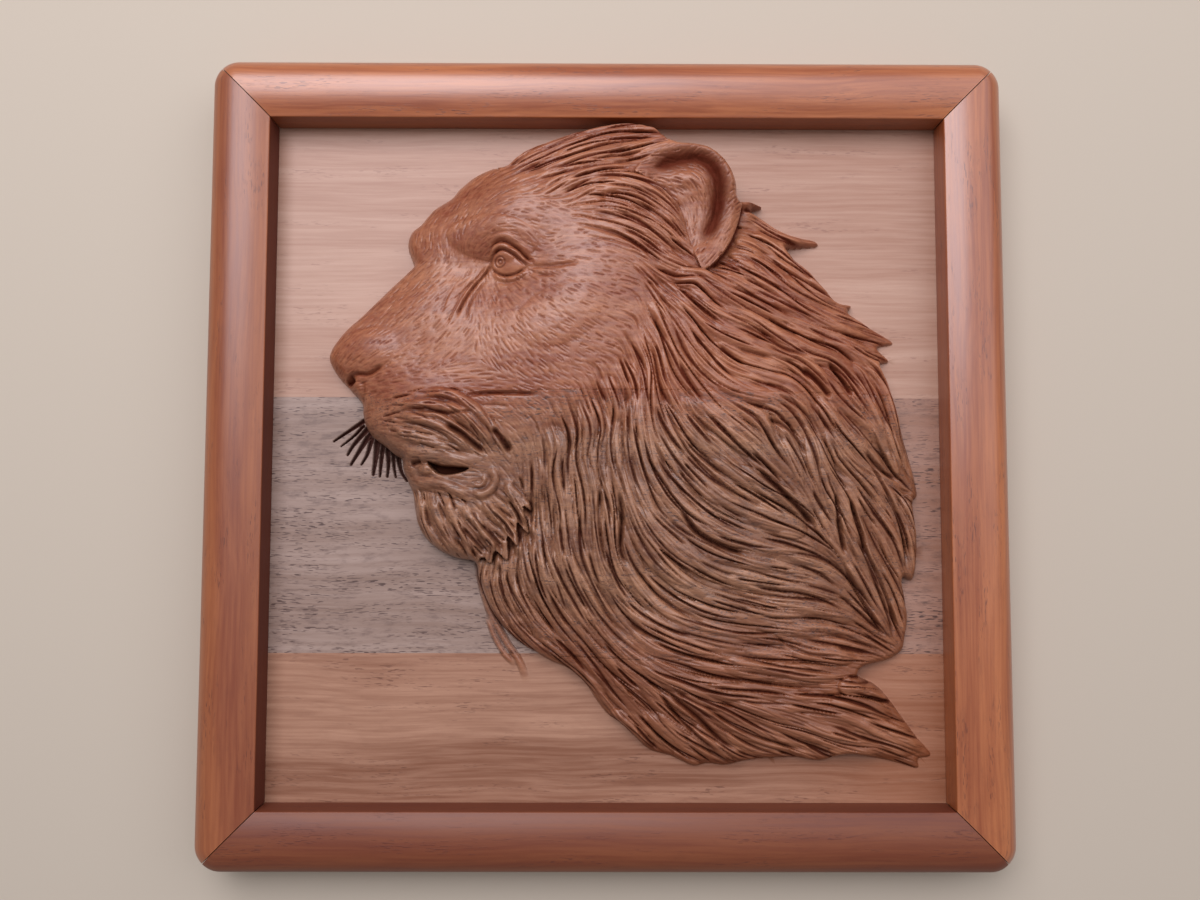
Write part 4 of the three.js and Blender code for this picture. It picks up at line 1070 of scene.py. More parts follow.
def wood(name, tones, carved_tones, pore_share, place_attribute=None, gloss=0.9, roughness=0.5, warm=None,
         fades=()):
    """Wood sawn along its grain: streaks a few millimetres wide, pores as short dark dashes, and a finish
    that is polished on the tops, with a painted highlight there, and painted shade in the cuts and hollows.
    Tones are light, dark and pores, and carved tones are light, dark and the painted shade. Across each fade
    the carving takes on other carved tones. A warm tone comes in towards the right-hand end."""
    material = bpy.data.materials.new(name)
    material.use_nodes = True
    tree = material.node_tree
    shader = tree.nodes["Principled BSDF"]
    if place_attribute:
        place = add(tree, "ShaderNodeAttribute", attribute_name=place_attribute).outputs["Vector"]
    else:
        place = add(tree, "ShaderNodeTexCoord").outputs["Object"]
    painted_shade, rubbed_top_and_highlight, carved = (
        add(tree, "ShaderNodeAttribute", attribute_name=mark).outputs["Fac"]
        for mark in ("painted_shade", "rubbed_top_and_highlight", "carved")
    )
    # Growth bands 12 mm wide, streaks 1.3 mm wide, and the ripple that bends both along the board.
    ripple = noise(tree, place, (60, 30, 30), 1.0)
    bent = add(tree, "ShaderNodeVectorMath", [
        (0, ripple), (1, (0, 0.004, 0.004)), (2, place),
    ], operation="MULTIPLY_ADD").outputs[0]
    band = between(tree, noise(tree, bent, (220, 12, 12), 2.0), 0.35, 0.65)
    streak = between(tree, noise(tree, bent, (40, 1.3, 1.3), 4.0), 0.3, 0.72)
    tone = maths(tree, "MULTIPLY_ADD", streak, 0.5, maths(tree, "MULTIPLY", band, 0.5))
    cut_light, cut_dark, cut_painted_shade = ((*cut_tone, 1) for cut_tone in carved_tones)
    across, _, level = add(tree, "ShaderNodeSeparateXYZ", [(0, bent)]).outputs
    for (start, end), fade_light, fade_dark, fade_painted_shade in fades:
        share = add(tree, "ShaderNodeMapRange", [
            ("Value", level), ("From Min", start * MM), ("From Max", end * MM),
        ]).outputs[0]
        cut_light = mixed(tree, share, cut_light, (*fade_light, 1))
        cut_dark = mixed(tree, share, cut_dark, (*fade_dark, 1))
        cut_painted_shade = mixed(tree, share, cut_painted_shade, (*fade_painted_shade, 1))
    light = mixed(tree, carved, (*tones[0], 1), cut_light)
    dark = mixed(tree, carved, (*tones[1], 1), cut_dark)
    base = mixed(tree, tone, dark, light)
    if warm:
        towards_end = between(tree, across, WARM_END[0] * MM, WARM_END[1] * MM)
        base = mixed(tree, maths(tree, "MULTIPLY", towards_end, WARM_SHARE), base, (*warm, 1))
    # Pores 3 mm long and 0.35 mm wide, in drifts.
    dash = between(tree, noise(tree, bent, (3.4, 0.42, 0.42), 1.0, 0.4), 0.58, 0.66)
    drifts = noise(tree, bent, (30, 5, 5), 2.0)
    drift = between(tree, drifts, 0.62 - 0.3 * pore_share, 0.72 - 0.1 * pore_share)
    pores = maths(tree, "MULTIPLY", dash, drift)
    base = mixed(tree, maths(tree, "MULTIPLY", pores, 0.35 + 0.55 * pore_share), base, (*tones[2], 1))
    # Clouds 8 mm long where the pores lie thick.
    cloud = between(tree, noise(tree, bent, (9, 3, 3), 4.0, 0.65), 0.48, 0.72)
    base = mixed(tree, maths(tree, "MULTIPLY", cloud, 0.5 * pore_share - 0.1), base, (*tones[2], 1))
    # Fine hairs follow each carved strand: 0.5 mm wide, as fine as the picture can show, and 9 mm long. They
    # are painted as thin shade and highlight, and bumped.
    strand = add(tree, "ShaderNodeAttribute", attribute_name="hair").outputs["Vector"]
    hairs = noise(tree, strand, (9, 0.55, 1), 2.0, 0.6)
    painted_hair_highlight = maths(tree, "MULTIPLY", between(tree, hairs, 0.5, 0.7), carved)
    painted_hair_shade = maths(tree, "MULTIPLY", between(tree, hairs, 0.5, 0.33), carved)
    base = mixed(tree, maths(tree, "MULTIPLY", painted_hair_shade, 0.28), base, cut_painted_shade)
    base = mixed(tree, maths(tree, "MULTIPLY", painted_hair_highlight, 0.2), base, light)
    # Painted highlight on the tops.
    base = mixed(tree, maths(tree, "MULTIPLY", rubbed_top_and_highlight, 0.35), base, light)
    # Painted shade in the cuts and hollows.
    base = mixed(tree, maths(tree, "MULTIPLY", painted_shade, 0.9), base, cut_painted_shade)
    tree.links.new(base, shader.inputs["Base Color"])
    rough = maths(tree, "MULTIPLY_ADD", streak, 0.08, roughness - 0.04)
    rough = maths(tree, "MULTIPLY_ADD", painted_shade, 0.3, rough)
    rough = maths(tree, "MULTIPLY_ADD", rubbed_top_and_highlight, -0.08, rough)
    tree.links.new(rough, shader.inputs["Roughness"])
    # The carving is rubbed to a higher gloss than the flat ground.
    rubbed = maths(tree, "MULTIPLY_ADD", carved, 0.4 * gloss, 0.6 * gloss)
    polish = maths(tree, "MULTIPLY", maths(tree, "SUBTRACT", 1.0, painted_shade), rubbed)
    tree.links.new(polish, shader.inputs["Coat Weight"])
    relief = maths(tree, "MULTIPLY_ADD", pores, -0.4, maths(tree, "MULTIPLY", streak, 0.15))
    relief = maths(tree, "MULTIPLY_ADD", maths(tree, "MULTIPLY", hairs, carved), 1.2, relief)
    bump = add(tree, "ShaderNodeBump", [("Strength", 0.7), ("Distance", 0.15 * MM), ("Height", relief)])
    tree.links.new(bump.outputs[0], shader.inputs["Normal"])
    shader.inputs["IOR"].default_value = 1.25
    shader.inputs["Coat IOR"].default_value = 1.7
    shader.inputs["Coat Roughness"].default_value = 0.42
    return material


# Pieces.

BOARDS = {
    "upper_board": "upper_board_wood",
    "middle_board": "middle_board_wood",
    "lower_board": "lower_board_wood",
}
# Each rail in turn, with its share of painted shade on the rounding and on the inner wall.
RAILS = {
    "frame_top_rail": (0.0, 0.5),
    "frame_right_stile": (0.0, 0.25),
    "frame_bottom_rail": (0.75, 0.9),
    "frame_left_stile": (0.35, 1.0),
}
# Heights off the wall between which the rails' unevenness begins.
HAND_SHAPED = (17, 22)
# A board with more triangles than this is thinned.
MOST_TRIANGLES = 190_000
# Cells along each side of a block of flat ground that becomes one face.
BLOCK = 12
# Angles past which a crease stays sharp.
BOARD_CREASE = math.radians(85)
FRAME_CREASE = math.radians(35)


def front_faces(plain, rows, columns):
    """Faces of a grid of points: a quad for each cell, but one face for each block of plain cells."""
    blocks_up, blocks_across = math.ceil((rows - 1) / BLOCK), math.ceil((columns - 1) / BLOCK)
    number = np.arange(rows * columns).reshape(rows, columns)
    fine = np.ones((rows - 1, columns - 1), dtype=bool)
    flat_blocks = []
    for i in range(blocks_up):
        for j in range(blocks_across):
            up, across = slice(i * BLOCK, (i + 1) * BLOCK + 1), slice(j * BLOCK, (j + 1) * BLOCK + 1)
            if plain[up, across].all():
                fine[i * BLOCK:(i + 1) * BLOCK, j * BLOCK:(j + 1) * BLOCK] = False
                flat_blocks.append(number[up, across])
    r, c = np.nonzero(fine)
    quads = np.column_stack([number[r, c], number[r, c + 1], number[r + 1, c + 1], number[r + 1, c]])
    used = np.zeros(rows * columns, dtype=bool)
    used[quads] = True
    for block in flat_blocks:
        used[[block[0, 0], block[0, -1], block[-1, 0], block[-1, -1]]] = True
    rims = [around(block) for block in flat_blocks]
    return quads, [rim[used[rim]] for rim in rims], used


def around(block):
    """The numbers round the edge of a block of points, anticlockwise."""
    return np.concatenate([block[0, :-1], block[:-1, -1], block[-1, :0:-1], block[:0:-1, 0]])


def board_mesh(name, carving, marks, thickness, low, high):
    """A closed board: the carved front between two heights, square edges and a flat back."""
    grid = carving.grid
    within = (grid.z > low + 0.01) & (grid.z < high - 0.01)
    levels = np.concatenate([[low], grid.z[within], [high]])
    place = np.interp(levels, grid.z, np.arange(grid.rows))
    first = np.minimum(place.astype(int), grid.rows - 2)
    share = (place - first)[:, None]

    def rows_of(field):
        return field[first] * (1 - share) + field[first + 1] * share

    height = rows_of(carving.height)
    x, z = np.meshgrid(grid.x, levels)
    front = np.dstack([x, -thickness - height, z]).reshape(-1, 3)
    plain = np.abs(height) < FLAT
    quads, rims, used = front_faces(plain, *height.shape)
    edge = around(np.arange(height.size).reshape(height.shape))
    edge = edge[used[edge]]
    behind = len(front) + np.arange(len(edge))
    sides = np.column_stack([edge, behind, np.roll(behind, -1), np.roll(edge, -1)])
    points = np.vstack([front, front[edge] * (1, 0, 1)]) * MM
    kept = np.concatenate([used, np.ones(len(edge), dtype=bool)])
    renumbered = np.cumsum(kept) - 1
    corners = np.concatenate([quads.ravel(), sides.ravel(), *rims, behind[::-1]])
    counts = np.concatenate([np.full(len(quads) + len(sides), 4), [len(rim) for rim in rims], [len(edge)]])
    starts = np.concatenate([[0], np.cumsum(counts)[:-1]])
    mesh = bpy.data.meshes.new(name)
    mesh.vertices.add(kept.sum())
    mesh.vertices.foreach_set("co", points[kept].ravel())
    mesh.loops.add(len(corners))
    mesh.loops.foreach_set("vertex_index", renumbered[corners].astype(np.int32))
    mesh.polygons.add(len(starts))
    mesh.polygons.foreach_set("loop_start", starts.astype(np.int32))
    mesh.update(calc_edges=True)
    for mark, field in marks.items():
        values = np.concatenate([rows_of(field).ravel(), np.zeros(len(edge))])[kept]
        mesh.attributes.new(mark, "FLOAT", "POINT").data.foreach_set("value", values)
    nearest = np.round(place).astype(int)
    strand = carving.hair[:, nearest].reshape(3, -1).T * MM
    strand = np.vstack([strand, np.zeros((len(edge), 3))])[kept]
    mesh.attributes.new("hair", "FLOAT_VECTOR", "POINT").data.foreach_set("vector", strand.ravel())
    return mesh


def rail_section(rail_width, rail_depth, s):
    """Section of a rail: distance in from the outer edge, height off the wall, in metres."""
    section = [(0.0, 0.0), (0.0, s.side_depth)]
    crown = s.crown_share * rail_width
    rise = rail_depth - s.side_depth
    for i in range(1, 15):
        turn = math.pi / 2 * i / 14
        section.append((crown * (1 - math.cos(turn)), s.side_depth + rise * math.sin(turn)))
    fall = rail_depth - s.sight_edge_depth
    last = 1 - s.edge_wear / (rail_width - crown)
    for i in range(1, 13):
        share = last * i / 12
        section.append((crown + (rail_width - crown) * share, rail_depth - fall * share ** 2))
    edge_off = section[-1][1] - s.edge_wear
    for i in range(1, 4):
        turn = math.pi / 2 * i / 3
        inset = rail_width - s.edge_wear * (1 - math.sin(turn))
        section.append((inset, edge_off + s.edge_wear * math.cos(turn)))
    for share in (0.75, 0.5, 0.25, 0):
        section.append((rail_width, s.seat + share * (edge_off - s.seat)))
    section += [(rail_width - s.rebate, s.seat), (rail_width - s.rebate, 0.0)]
    return section


def bar_mesh(name, section, painted_rail_shade, painted_wall_shade):
    """A straight closed bar of a section. Its length is given as shares from -1 to 1, of which those past a
    half are corner arcs."""
    arc = np.linspace(1, 0.5, 10)
    stations = np.concatenate([arc, np.linspace(0.5, -0.5, 80)[1:-1], -arc[::-1]])
    bars = bmesh.new()
    rings = [[bars.verts.new((s, inset, off)) for inset, off in section] for s in stations]
    for here, there in zip(rings, rings[1:]):
        for i in range(len(section)):
            j = (i + 1) % len(section)
            bars.faces.new((here[i], here[j], there[j], there[i]))
    bars.faces.new(rings[0][::-1])
    bars.faces.new(rings[-1])
    mesh = bpy.data.meshes.new(name)
    bars.to_mesh(mesh)
    bars.free()
    # Painted shade darkens the inner wall, and each rail by its own share, most the bottom rail and the left
    # stile, where less light falls.
    inmost = max(inset for inset, off in section)
    section_painted_shades = [painted_wall_shade if inset == inmost else painted_rail_shade for inset, off in section]
    mesh.attributes.new("painted_shade", "FLOAT", "POINT").data.foreach_set("value", section_painted_shades * len(stations))
    return mesh


def moulding_tree():
    """Node tree that bends a straight bar round half of each corner and cuts it to the mitre lines."""
    tree = bpy.data.node_groups.new("mitred moulding", "GeometryNodeTree")
    for name, kind in (
        ("Geometry", "NodeSocketGeometry"), ("Half Length", "NodeSocketFloat"),
        ("Half Reach", "NodeSocketFloat"), ("Corner Radius", "NodeSocketFloat"),
        ("Mitre Gap", "NodeSocketFloat"), ("Quarter Turns", "NodeSocketFloat"),
        ("Wander", "NodeSocketFloat"), ("Finish", "NodeSocketMaterial"),
    ):
        tree.interface.new_socket(name=name, in_out="INPUT", socket_type=kind)
    tree.interface.new_socket(name="Geometry", in_out="OUTPUT", socket_type="NodeSocketGeometry")
    given = add(tree, "NodeGroupInput").outputs
    radius = given["Corner Radius"]
    bar = add(tree, "GeometryNodeInputPosition")
    share, inset, off = add(tree, "ShaderNodeSeparateXYZ", [(0, bar.outputs[0])]).outputs
    twice = maths(tree, "MULTIPLY", maths(tree, "ABSOLUTE", share), 2)
    run = maths(tree, "MINIMUM", twice, 1)
    arc = maths(tree, "MAXIMUM", maths(tree, "SUBTRACT", twice, 1), 0)
    turn = maths(tree, "MULTIPLY_ADD", arc, -math.pi / 4, math.pi / 2)
    # What lies further in than the corner radius has no arc: it meets its neighbour along the mitre.
    left = maths(tree, "SUBTRACT", radius, inset)
    outer = maths(tree, "MAXIMUM", left, 0)
    inner = maths(tree, "MINIMUM", left, 0)
    slip = maths(tree, "MULTIPLY", given["Mitre Gap"], math.sqrt(0.5))
    straight = maths(tree, "SUBTRACT", maths(tree, "ADD", given["Half Length"], inner),
                     maths(tree, "ADD", radius, slip))
    along = maths(tree, "MULTIPLY_ADD", outer, maths(tree, "COSINE", turn),
                  maths(tree, "MULTIPLY", run, straight))
    along = maths(tree, "MULTIPLY", along, maths(tree, "SIGN", share))
    reach = maths(tree, "MULTIPLY_ADD", outer, maths(tree, "SINE", turn),
                  maths(tree, "SUBTRACT", maths(tree, "ADD", given["Half Reach"], inner), radius))
    # Grain runs along the rail, and starts at another place in the wood on each.
    start = maths(tree, "MULTIPLY_ADD", given["Quarter Turns"], 0.37, along)
    grain = add(tree, "ShaderNodeCombineXYZ", [(0, start), (1, inset), (2, off)]).outputs[0]
    stored = add(tree, "GeometryNodeStoreNamedAttribute", [
        ("Geometry", given["Geometry"]), ("Name", "grain"), ("Value", grain),
    ], data_type="FLOAT_VECTOR", domain="POINT").outputs[0]
    # The rounded part was shaped by hand, so its height wanders a little along the rail.
    waves = add(tree, "ShaderNodeTexNoise", [("Vector", grain), ("Scale", 22.0), ("Detail", 2.0)]).outputs[0]
    shaped = add(tree, "ShaderNodeMapRange", [
        ("Value", off), ("From Min", HAND_SHAPED[0] * MM), ("From Max", HAND_SHAPED[1] * MM),
    ]).outputs[0]
    sway = maths(tree, "MULTIPLY", maths(tree, "SUBTRACT", waves, 0.5), given["Wander"])
    sway = maths(tree, "MULTIPLY", sway, shaped)
    depth = maths(tree, "SUBTRACT", sway, off)
    bent = add(tree, "ShaderNodeCombineXYZ", [(0, along), (1, depth), (2, reach)]).outputs[0]
    angle = maths(tree, "MULTIPLY", given["Quarter Turns"], math.pi / 2)
    placed = add(tree, "ShaderNodeVectorRotate", [("Vector", bent), ("Angle", angle)], rotation_type="Y_AXIS")
    moved = add(tree, "GeometryNodeSetPosition", [("Geometry", stored), ("Position", placed.outputs[0])])
    merged = add(tree, "GeometryNodeMergeByDistance", [("Geometry", moved.outputs[0]), ("Distance", 1e-6)])
    real = add(tree, "GeometryNodeRealizeInstances", [("Geometry", merged.outputs[0])])
    coated = add(tree, "GeometryNodeSetMaterial", [
        ("Geometry", real.outputs[0]), ("Material", given["Finish"]),
    ])
    add(tree, "NodeGroupOutput", [("Geometry", coated.outputs[0])])
    return tree


def set_inputs(modifier, values):
    """Sets a node modifier's inputs, found by name and set by identifier."""
    for item in modifier.node_group.interface.items_tree:
        if item.item_type == "SOCKET" and item.in_out == "INPUT" and item.name in values:
            modifier[item.identifier] = values[item.name]


# Settings that a user would change.

def length(name, millimetres, description):
    return FloatProperty(name=name, default=millimetres * MM, min=0, unit="LENGTH", precision=5,
                         description=description)


def tint(name, code, description):
    return FloatVectorProperty(name=name, default=linear(code), min=0, max=1, subtype="COLOR",
                               description=description)


class CarvingSettings(bpy.types.PropertyGroup):
    """Sizes of the boards and of the tool's marks."""

    thickness: length("Panel Thickness", 10, "Thickness of the panel round the head")
    pitch: length("Pitch", 0.27, "Distance between the points of the carved surface")
    edge_radius: length("Edge Radius", 4.5, "Breadth of the rounded edge where the head meets the panel")
    lock_spacing: length("Lock Spacing", 6.2, "Distance between locks of the mane")
    lock_rise: length("Lock Rise", 1.4, "Height of a lock above the gaps beside it")
    strand_spacing: length("Strand Spacing", 2.4, "Distance between strands on the locks")
    strand_rise: length("Strand Rise", 0.45, "Height of a strand above the gaps beside it")
    cut_spacing: length("Cut Spacing", 2.8, "Distance between the deep cuts")
    cut_depth: length("Cut Depth", 1.5, "Depth of the deep cuts")
    slit_spacing: length("Slit Spacing", 3.8, "Distance between the narrow dark cuts")
    slit_depth: length("Slit Depth", 1.3, "Depth of the narrow dark cuts")
    line_spacing: length("Line Spacing", 1.1, "Distance between the fine lines")
    line_depth: length("Line Depth", 0.42, "Depth of the fine lines")
    fur_spacing: length("Fur Spacing", 0.9, "Distance between the short strokes of the face")
    fur_depth: length("Fur Depth", 0.24, "Depth of the short strokes of the face")
    tuft_spacing: length("Tuft Spacing", 2.0, "Distance between the tufts of fur on the face")
    tuft_rise: length("Tuft Rise", 0.02, "Height of a tuft above the gaps beside it")
    seed: IntProperty(name="Seed", default=11, description="Start of the random choices of the strokes")


class FrameSettings(bpy.types.PropertyGroup):
    """Sizes of the moulding."""

    side_depth: length("Side Depth", 17, "Height of the straight outer side")
    crown_share: FloatProperty(name="Crown Share", default=0.45, min=0, max=1,
                               description="Where the crown lies across a rail, from its outer edge")
    sight_edge_depth: length("Sight Edge Depth", 21.7, "Height of the inner edge off the wall")
    corner_radius: length("Corner Radius", 10, "Rounding of the frame's outer corners")
    mitre_gap: length("Mitre Gap", 0.3, "Width of the joint line at a mitre")
    edge_wear: length("Edge Wear", 0.6, "Rounding of the inner edge")
    seat: length("Seat", 10.3, "Height off the wall of the rebate that holds the panel")
    rebate: length("Rebate", 6, "Width of the rebate that holds the panel")
    wander: length("Wander", 0.25, "Unevenness of the hand-shaped rounding")


class FinishSettings(bpy.types.PropertyGroup):
    """Colours of the four woods, flat and carved: light and dark streaks, pores, and painted shade in the
    cuts.
    """

    # Of each board's tints, the last colours the painted shade in its cuts and hollows.
    upper_light: tint("Upper Light", "#c39c88", "Light streaks of the upper board")
    upper_dark: tint("Upper Dark", "#a87a64", "Dark streaks of the upper board")
    upper_pore: tint("Upper Pore", "#8a5c4e", "Pores of the upper board")
    upper_cut_light: tint("Upper Cut Light", "#bb7853", "Light streaks of the carving in the upper board")
    upper_cut_dark: tint("Upper Cut Dark", "#8c4325", "Dark streaks of the carving in the upper board")
    upper_painted_shade: tint("Upper Hollow", "#511405", "Bottoms of the cuts in the upper board")
    middle_light: tint("Middle Light", "#ad9489", "Light streaks of the middle board")
    middle_dark: tint("Middle Dark", "#8f7467", "Dark streaks of the middle board")
    middle_pore: tint("Middle Pore", "#4f3733", "Pores of the middle board")
    middle_cut_light: tint("Middle Cut Light", "#b58160", "Light streaks of the carving in the middle board")
    middle_cut_dark: tint("Middle Cut Dark", "#845035", "Dark streaks of the carving in the middle board")
    middle_painted_shade: tint("Middle Hollow", "#360b02", "Bottoms of the cuts in the middle board")
    lower_light: tint("Lower Light", "#b98b72", "Light streaks of the lower board")
    lower_dark: tint("Lower Dark", "#88573f", "Dark streaks of the lower board")
    lower_pore: tint("Lower Pore", "#5f3527", "Pores of the lower board")
    lower_cut_light: tint("Lower Cut Light", "#ac6f4e", "Light streaks of the carving in the lower board")
    lower_cut_dark: tint("Lower Cut Dark", "#824425", "Dark streaks of the carving in the lower board")
    lower_painted_shade: tint("Lower Hollow", "#3f0f03", "Bottoms of the cuts in the lower board")
    warm: tint("Warm End", "#a8633c", "Colour of the two lower boards at their right-hand ends")
    frame_light: tint("Frame Light", "#c0713f", "Light streaks of the frame")
    frame_dark: tint("Frame Dark", "#93461f", "Dark streaks of the frame")
    frame_pore: tint("Frame Pore", "#571f10", "Pores of the frame")


class StageSettings(bpy.types.PropertyGroup):
    """Backdrop, lights and camera."""

    backdrop: tint("Backdrop", "#cbbfaf", "Colour of the plain backdrop")
    backdrop_size: length("Backdrop Size", 4000, "Side of the backdrop")
    backdrop_gap: length("Backdrop Gap", 1, "Gap between the back of the panel and the backdrop")
    key_power: FloatProperty(name="Key Power", default=8.4, description="Power of the main light in watts")
    fill_power: FloatProperty(name="Fill Power", default=5.8, description="Power of the fill light in watts")
    lens: FloatProperty(name="Lens", default=29.1, description="Focal length in mm on a 36 mm sensor")


def wood_of(board, finish):
    """The oiled wood of a board, deeper in colour where it is carved across the grain."""
    part = board.split("_")[0]
    tones = [getattr(finish, part + "_" + tone) for tone in ("light", "dark", "pore")]
    carved_tones = [getattr(finish, part + "_" + tone) for tone in ("cut_light", "cut_dark", "painted_shade")]
    if part == "upper":
        # Pinkish mahogany: pale, with few pores, so the eye sees soft level streaks.
        return wood("oiled_pink_mahogany", tones, carved_tones, 0.3)
    if part == "middle":
        # Walnut: grey-brown and open-grained, so dark dashes show all over it. It is redder by its joints.
        fades = (
            (UPPER_FADE, finish.upper_cut_light, finish.upper_cut_dark, finish.upper_painted_shade),
            (LOWER_FADE, finish.lower_cut_light, finish.lower_cut_dark, finish.lower_painted_shade),
        )
        return wood("oiled_walnut", tones, carved_tones, 1.0, warm=finish.warm, fades=fades)
    # Red mahogany: deeper, with level bands.
    return wood("oiled_red_mahogany", tones, carved_tones, 0.4, warm=finish.warm)


class CARVING_OT_boards(bpy.types.Operator):
    """Carve the lion's head from the three boards of the panel"""

    bl_idname = "carving.boards"
    bl_label = "Carved Boards"
    bl_options = {"REGISTER", "UNDO"}

    def execute(self, context):
        scene = context.scene
        s = scene.carving
        boxes = [[np.array(corner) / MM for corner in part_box(name)] for name in BOARDS]
        high, low = boxes[0][1][[0, 2]], boxes[-1][0][[0, 2]]
        # The glue is too thin to show, so the boards meet halfway across each joint.
        joints = [(over[0][2] + under[1][2]) / 2 for over, under in zip(boxes, boxes[1:])]
        levels = [high[1], *joints, low[1]]
        pitch = s.pitch / MM * 1
        carving = Carving(s, low, high, pitch)
        marks = carving.marks()
        for (name, slot), top, bottom in zip(BOARDS.items(), levels, levels[1:]):
            mesh = board_mesh(name, carving, marks, s.thickness / MM, bottom, top)
            piece = link_object("carved_" + name, mesh)
            piece.data.materials.append(wood_of(name, scene.carving_finish))
            triangles = len(piece.data.loops) - 2 * len(piece.data.polygons)
            if triangles > MOST_TRIANGLES:
                self.thin(piece, MOST_TRIANGLES / triangles)
            piece.data.shade_smooth()
            piece.data.set_sharp_from_angle(angle=BOARD_CREASE)
            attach(piece, "root")
            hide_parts(name)
        return {"FINISHED"}

    def thin(self, piece, ratio):
        """Joins faces where the carving is smooth. The flat ground is as plain as can be, so it is left."""
        mesh = piece.data
        carved = np.empty(len(mesh.vertices))
        mesh.attributes["carved"].data.foreach_get("value", carved)
        group = piece.vertex_groups.new(name="carved")
        group.add(np.nonzero(carved > 0)[0].tolist(), 1.0, "REPLACE")
        thinned = piece.modifiers.new("thinned", "DECIMATE")
        thinned.ratio = ratio
        thinned.vertex_group = group.name
        thinned.use_collapse_triangulate = True
        finished(piece)
        piece.vertex_groups.clear()


class CARVING_OT_frame(bpy.types.Operator):
    """Shape the four mitred rails of the frame"""

    bl_idname = "carving.frame"
    bl_label = "Mitred Frame"
    bl_options = {"REGISTER", "UNDO"}

    def execute(self, context):
        s = context.scene.carving_frame
        finish = context.scene.carving_finish
        # Mahogany under satin varnish: the rounding carries one soft highlight along each rail.
        tones = (finish.frame_light, finish.frame_dark, finish.frame_pore)
        # The rails' painted shade takes the colour of the frame's pores.
        varnished = wood("satin_varnished_mahogany", tones, tones, 0.45, "grain", gloss=1.0, roughness=0.38)
        varnish = varnished.node_tree.nodes["Principled BSDF"].inputs
        varnish["IOR"].default_value = 1.5
        varnish["Coat IOR"].default_value = 1.9
        varnish["Coat Roughness"].default_value = 0.33
        tree = moulding_tree()
        low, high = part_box("frame_top_rail")
        half_height, half_width = high.z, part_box("frame_right_stile")[1].x
        section = rail_section(high.z - low.z, -low.y, s)
        for quarter, (name, rail_painted_shades) in enumerate(RAILS.items()):
            across = quarter % 2
            rail = link_object(name + "_moulding", bar_mesh(name, section, *rail_painted_shades))
            bend_modifier = rail.modifiers.new("mitred moulding", "NODES")
            bend_modifier.node_group = tree
            set_inputs(bend_modifier, {
                "Half Length": half_height if across else half_width,
                "Half Reach": half_width if across else half_height,
                "Corner Radius": s.corner_radius,
                "Mitre Gap": s.mitre_gap,
                "Quarter Turns": float(quarter),
                "Wander": s.wander,
                "Finish": varnished,
            })
            finished(rail)
            rail.data.shade_smooth()
            rail.data.set_sharp_from_angle(angle=FRAME_CREASE)
            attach(rail, "root")
            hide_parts(name)
        return {"FINISHED"}


# Soft lights: name, side in metres, place. The one at the back lights the views from behind.
LIGHTS = [
    ("key", 0.7, (-0.25, -0.9, 0.5)),
    ("fill", 1.2, (0.65, -0.95, 0.5)),
    ("back", 1.2, (0.5, 1.2, 0.6)),
]
LIGHT_COLOUR = "#f6f4fb"
SKY_COLOUR = "#eae7e8"
SKY_STRENGTH = 0.33
# The camera's place in metres, and its turns in degrees, the last of them first.
CAMERA_PLACE = (-0.0038, -0.3877, -0.0192)
CAMERA_TURNS = [("Z", -0.2), ("X", 3.44), ("Y", -0.12), ("X", 90)]


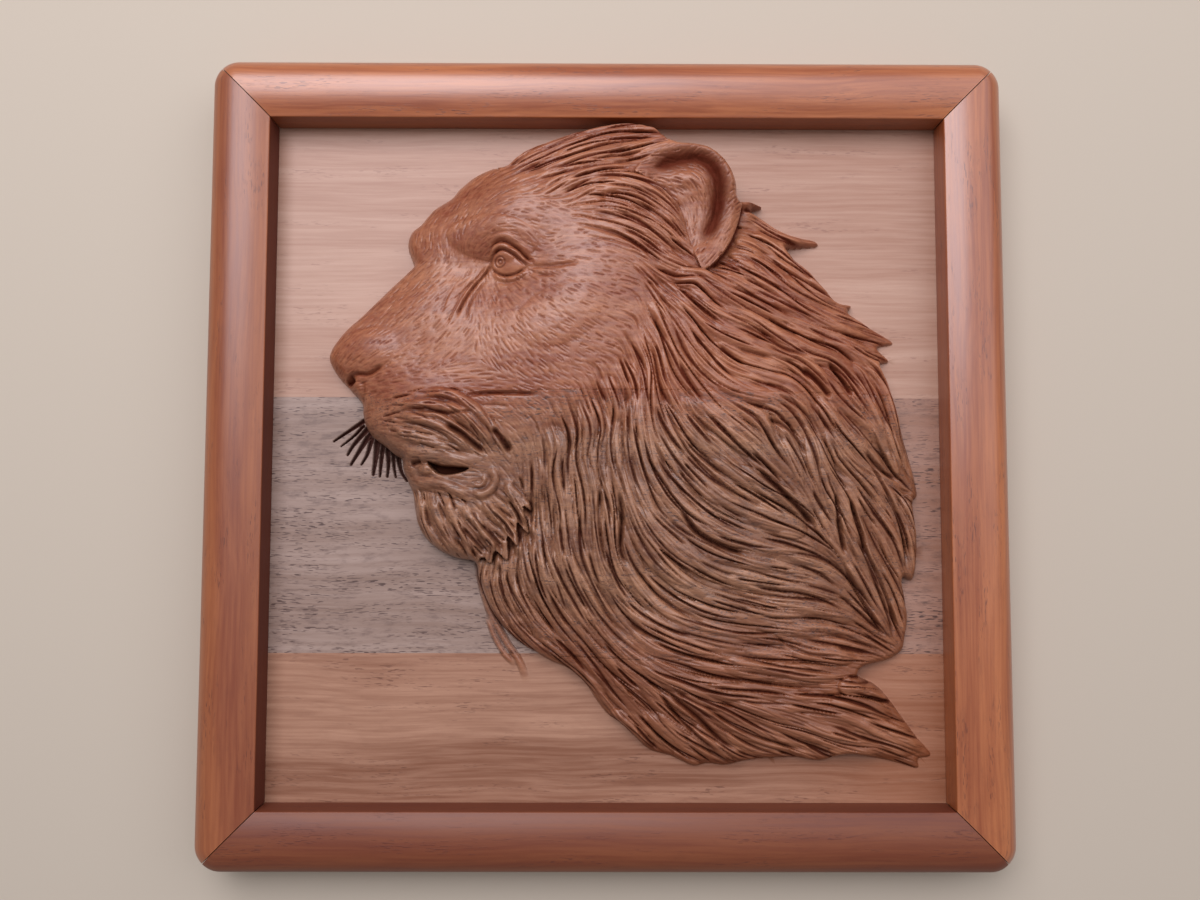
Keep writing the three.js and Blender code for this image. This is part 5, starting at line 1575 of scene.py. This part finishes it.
class CARVING_OT_stage(bpy.types.Operator):
    """Set up the plain backdrop, the soft lights and the camera"""

    bl_idname = "carving.stage"
    bl_label = "Stage"
    bl_options = {"REGISTER", "UNDO"}

    def execute(self, context):
        scene = context.scene
        s = scene.carving_stage
        self.backdrop(s)
        for name, size, place in LIGHTS:
            self.light(scene, name, s.key_power if name == "key" else s.fill_power, size, place)
        world = bpy.data.worlds.new("studio")
        world.use_nodes = True
        background = world.node_tree.nodes["Background"]
        background.inputs["Color"].default_value = (*linear(SKY_COLOUR), 1)
        background.inputs["Strength"].default_value = SKY_STRENGTH
        scene.world = world
        scene.view_settings.view_transform = "Standard"
        self.camera(scene, s)
        return {"FINISHED"}

    def backdrop(self, s):
        """A plain matt sheet behind the panel. It is clear from behind, so the back can be looked at."""
        half = s.backdrop_size / 2
        mesh = bpy.data.meshes.new("backdrop")
        corners = [(x * half, s.backdrop_gap, z * half) for x, z in ((-1, -1), (1, -1), (1, 1), (-1, 1))]
        mesh.from_pydata(corners, [], [(0, 1, 2, 3)])
        sheet = link_object("backdrop", mesh)
        material = bpy.data.materials.new("plain_paper")
        material.use_nodes = True
        tree = material.node_tree
        shader = tree.nodes["Principled BSDF"]
        shader.inputs["Base Color"].default_value = (*s.backdrop, 1)
        shader.inputs["Roughness"].default_value = 0.9
        behind = add(tree, "ShaderNodeNewGeometry").outputs["Backfacing"]
        shadow = add(tree, "ShaderNodeLightPath").outputs["Is Shadow Ray"]
        clear = add(tree, "ShaderNodeBsdfTransparent")
        surface = add(tree, "ShaderNodeMixShader", [
            (0, maths(tree, "MAXIMUM", behind, shadow)), (1, shader.outputs[0]), (2, clear.outputs[0]),
        ])
        tree.links.new(surface.outputs[0], tree.nodes["Material Output"].inputs["Surface"])
        sheet.data.materials.append(material)

    def light(self, scene, name, power, size, place):
        """A square soft light that faces the middle of the panel."""
        lamp = bpy.data.lights.new(name, "AREA")
        lamp.energy = power
        lamp.size = size
        lamp.color = linear(LIGHT_COLOUR)
        holder = bpy.data.objects.new(name, lamp)
        holder.location = place
        holder.rotation_euler = (-Vector(place)).to_track_quat("-Z", "Y").to_euler()
        scene.collection.objects.link(holder)

    def camera(self, scene, s):
        """The camera, square on to the panel and a little below its middle, tipped up."""
        view = bpy.data.cameras.new("camera")
        view.lens = s.lens
        holder = bpy.data.objects.new("camera", view)
        stand = Matrix.Translation(CAMERA_PLACE)
        for axis, degrees in CAMERA_TURNS:
            stand = stand @ Matrix.Rotation(math.radians(degrees), 4, axis)
        holder.matrix_world = stand
        scene.collection.objects.link(holder)
        scene.camera = holder


class CARVING_PT_sidebar(bpy.types.Panel):
    """The carving's operators and settings"""

    bl_idname = "CARVING_PT_sidebar"
    bl_label = "Carved Lion Head"
    bl_space_type = "VIEW_3D"
    bl_region_type = "UI"
    bl_category = "Carving"

    def draw(self, context):
        for settings, operator in (
            ("carving", "carving.boards"), ("carving_frame", "carving.frame"), ("carving_finish", None),
            ("carving_stage", "carving.stage"),
        ):
            box = self.layout.box()
            group = getattr(context.scene, settings)
            for name in group.bl_rna.properties.keys():
                if name not in ("rna_type", "name"):
                    box.prop(group, name)
            if operator:
                box.operator(operator)


SETTINGS = {
    "carving": CarvingSettings,
    "carving_frame": FrameSettings,
    "carving_finish": FinishSettings,
    "carving_stage": StageSettings,
}
CLASSES = (*SETTINGS.values(), CARVING_OT_boards, CARVING_OT_frame, CARVING_OT_stage, CARVING_PT_sidebar)


def register():
    for kind in CLASSES:
        bpy.utils.register_class(kind)
    for name, kind in SETTINGS.items():
        setattr(bpy.types.Scene, name, PointerProperty(type=kind))


def unregister():
    for name in SETTINGS:
        delattr(bpy.types.Scene, name)
    for kind in reversed(CLASSES):
        bpy.utils.unregister_class(kind)


def main():
    register()
    bpy.ops.carving.stage()
    bpy.ops.carving.boards()
    bpy.ops.carving.frame()


if __name__ == "__main__":
    main()
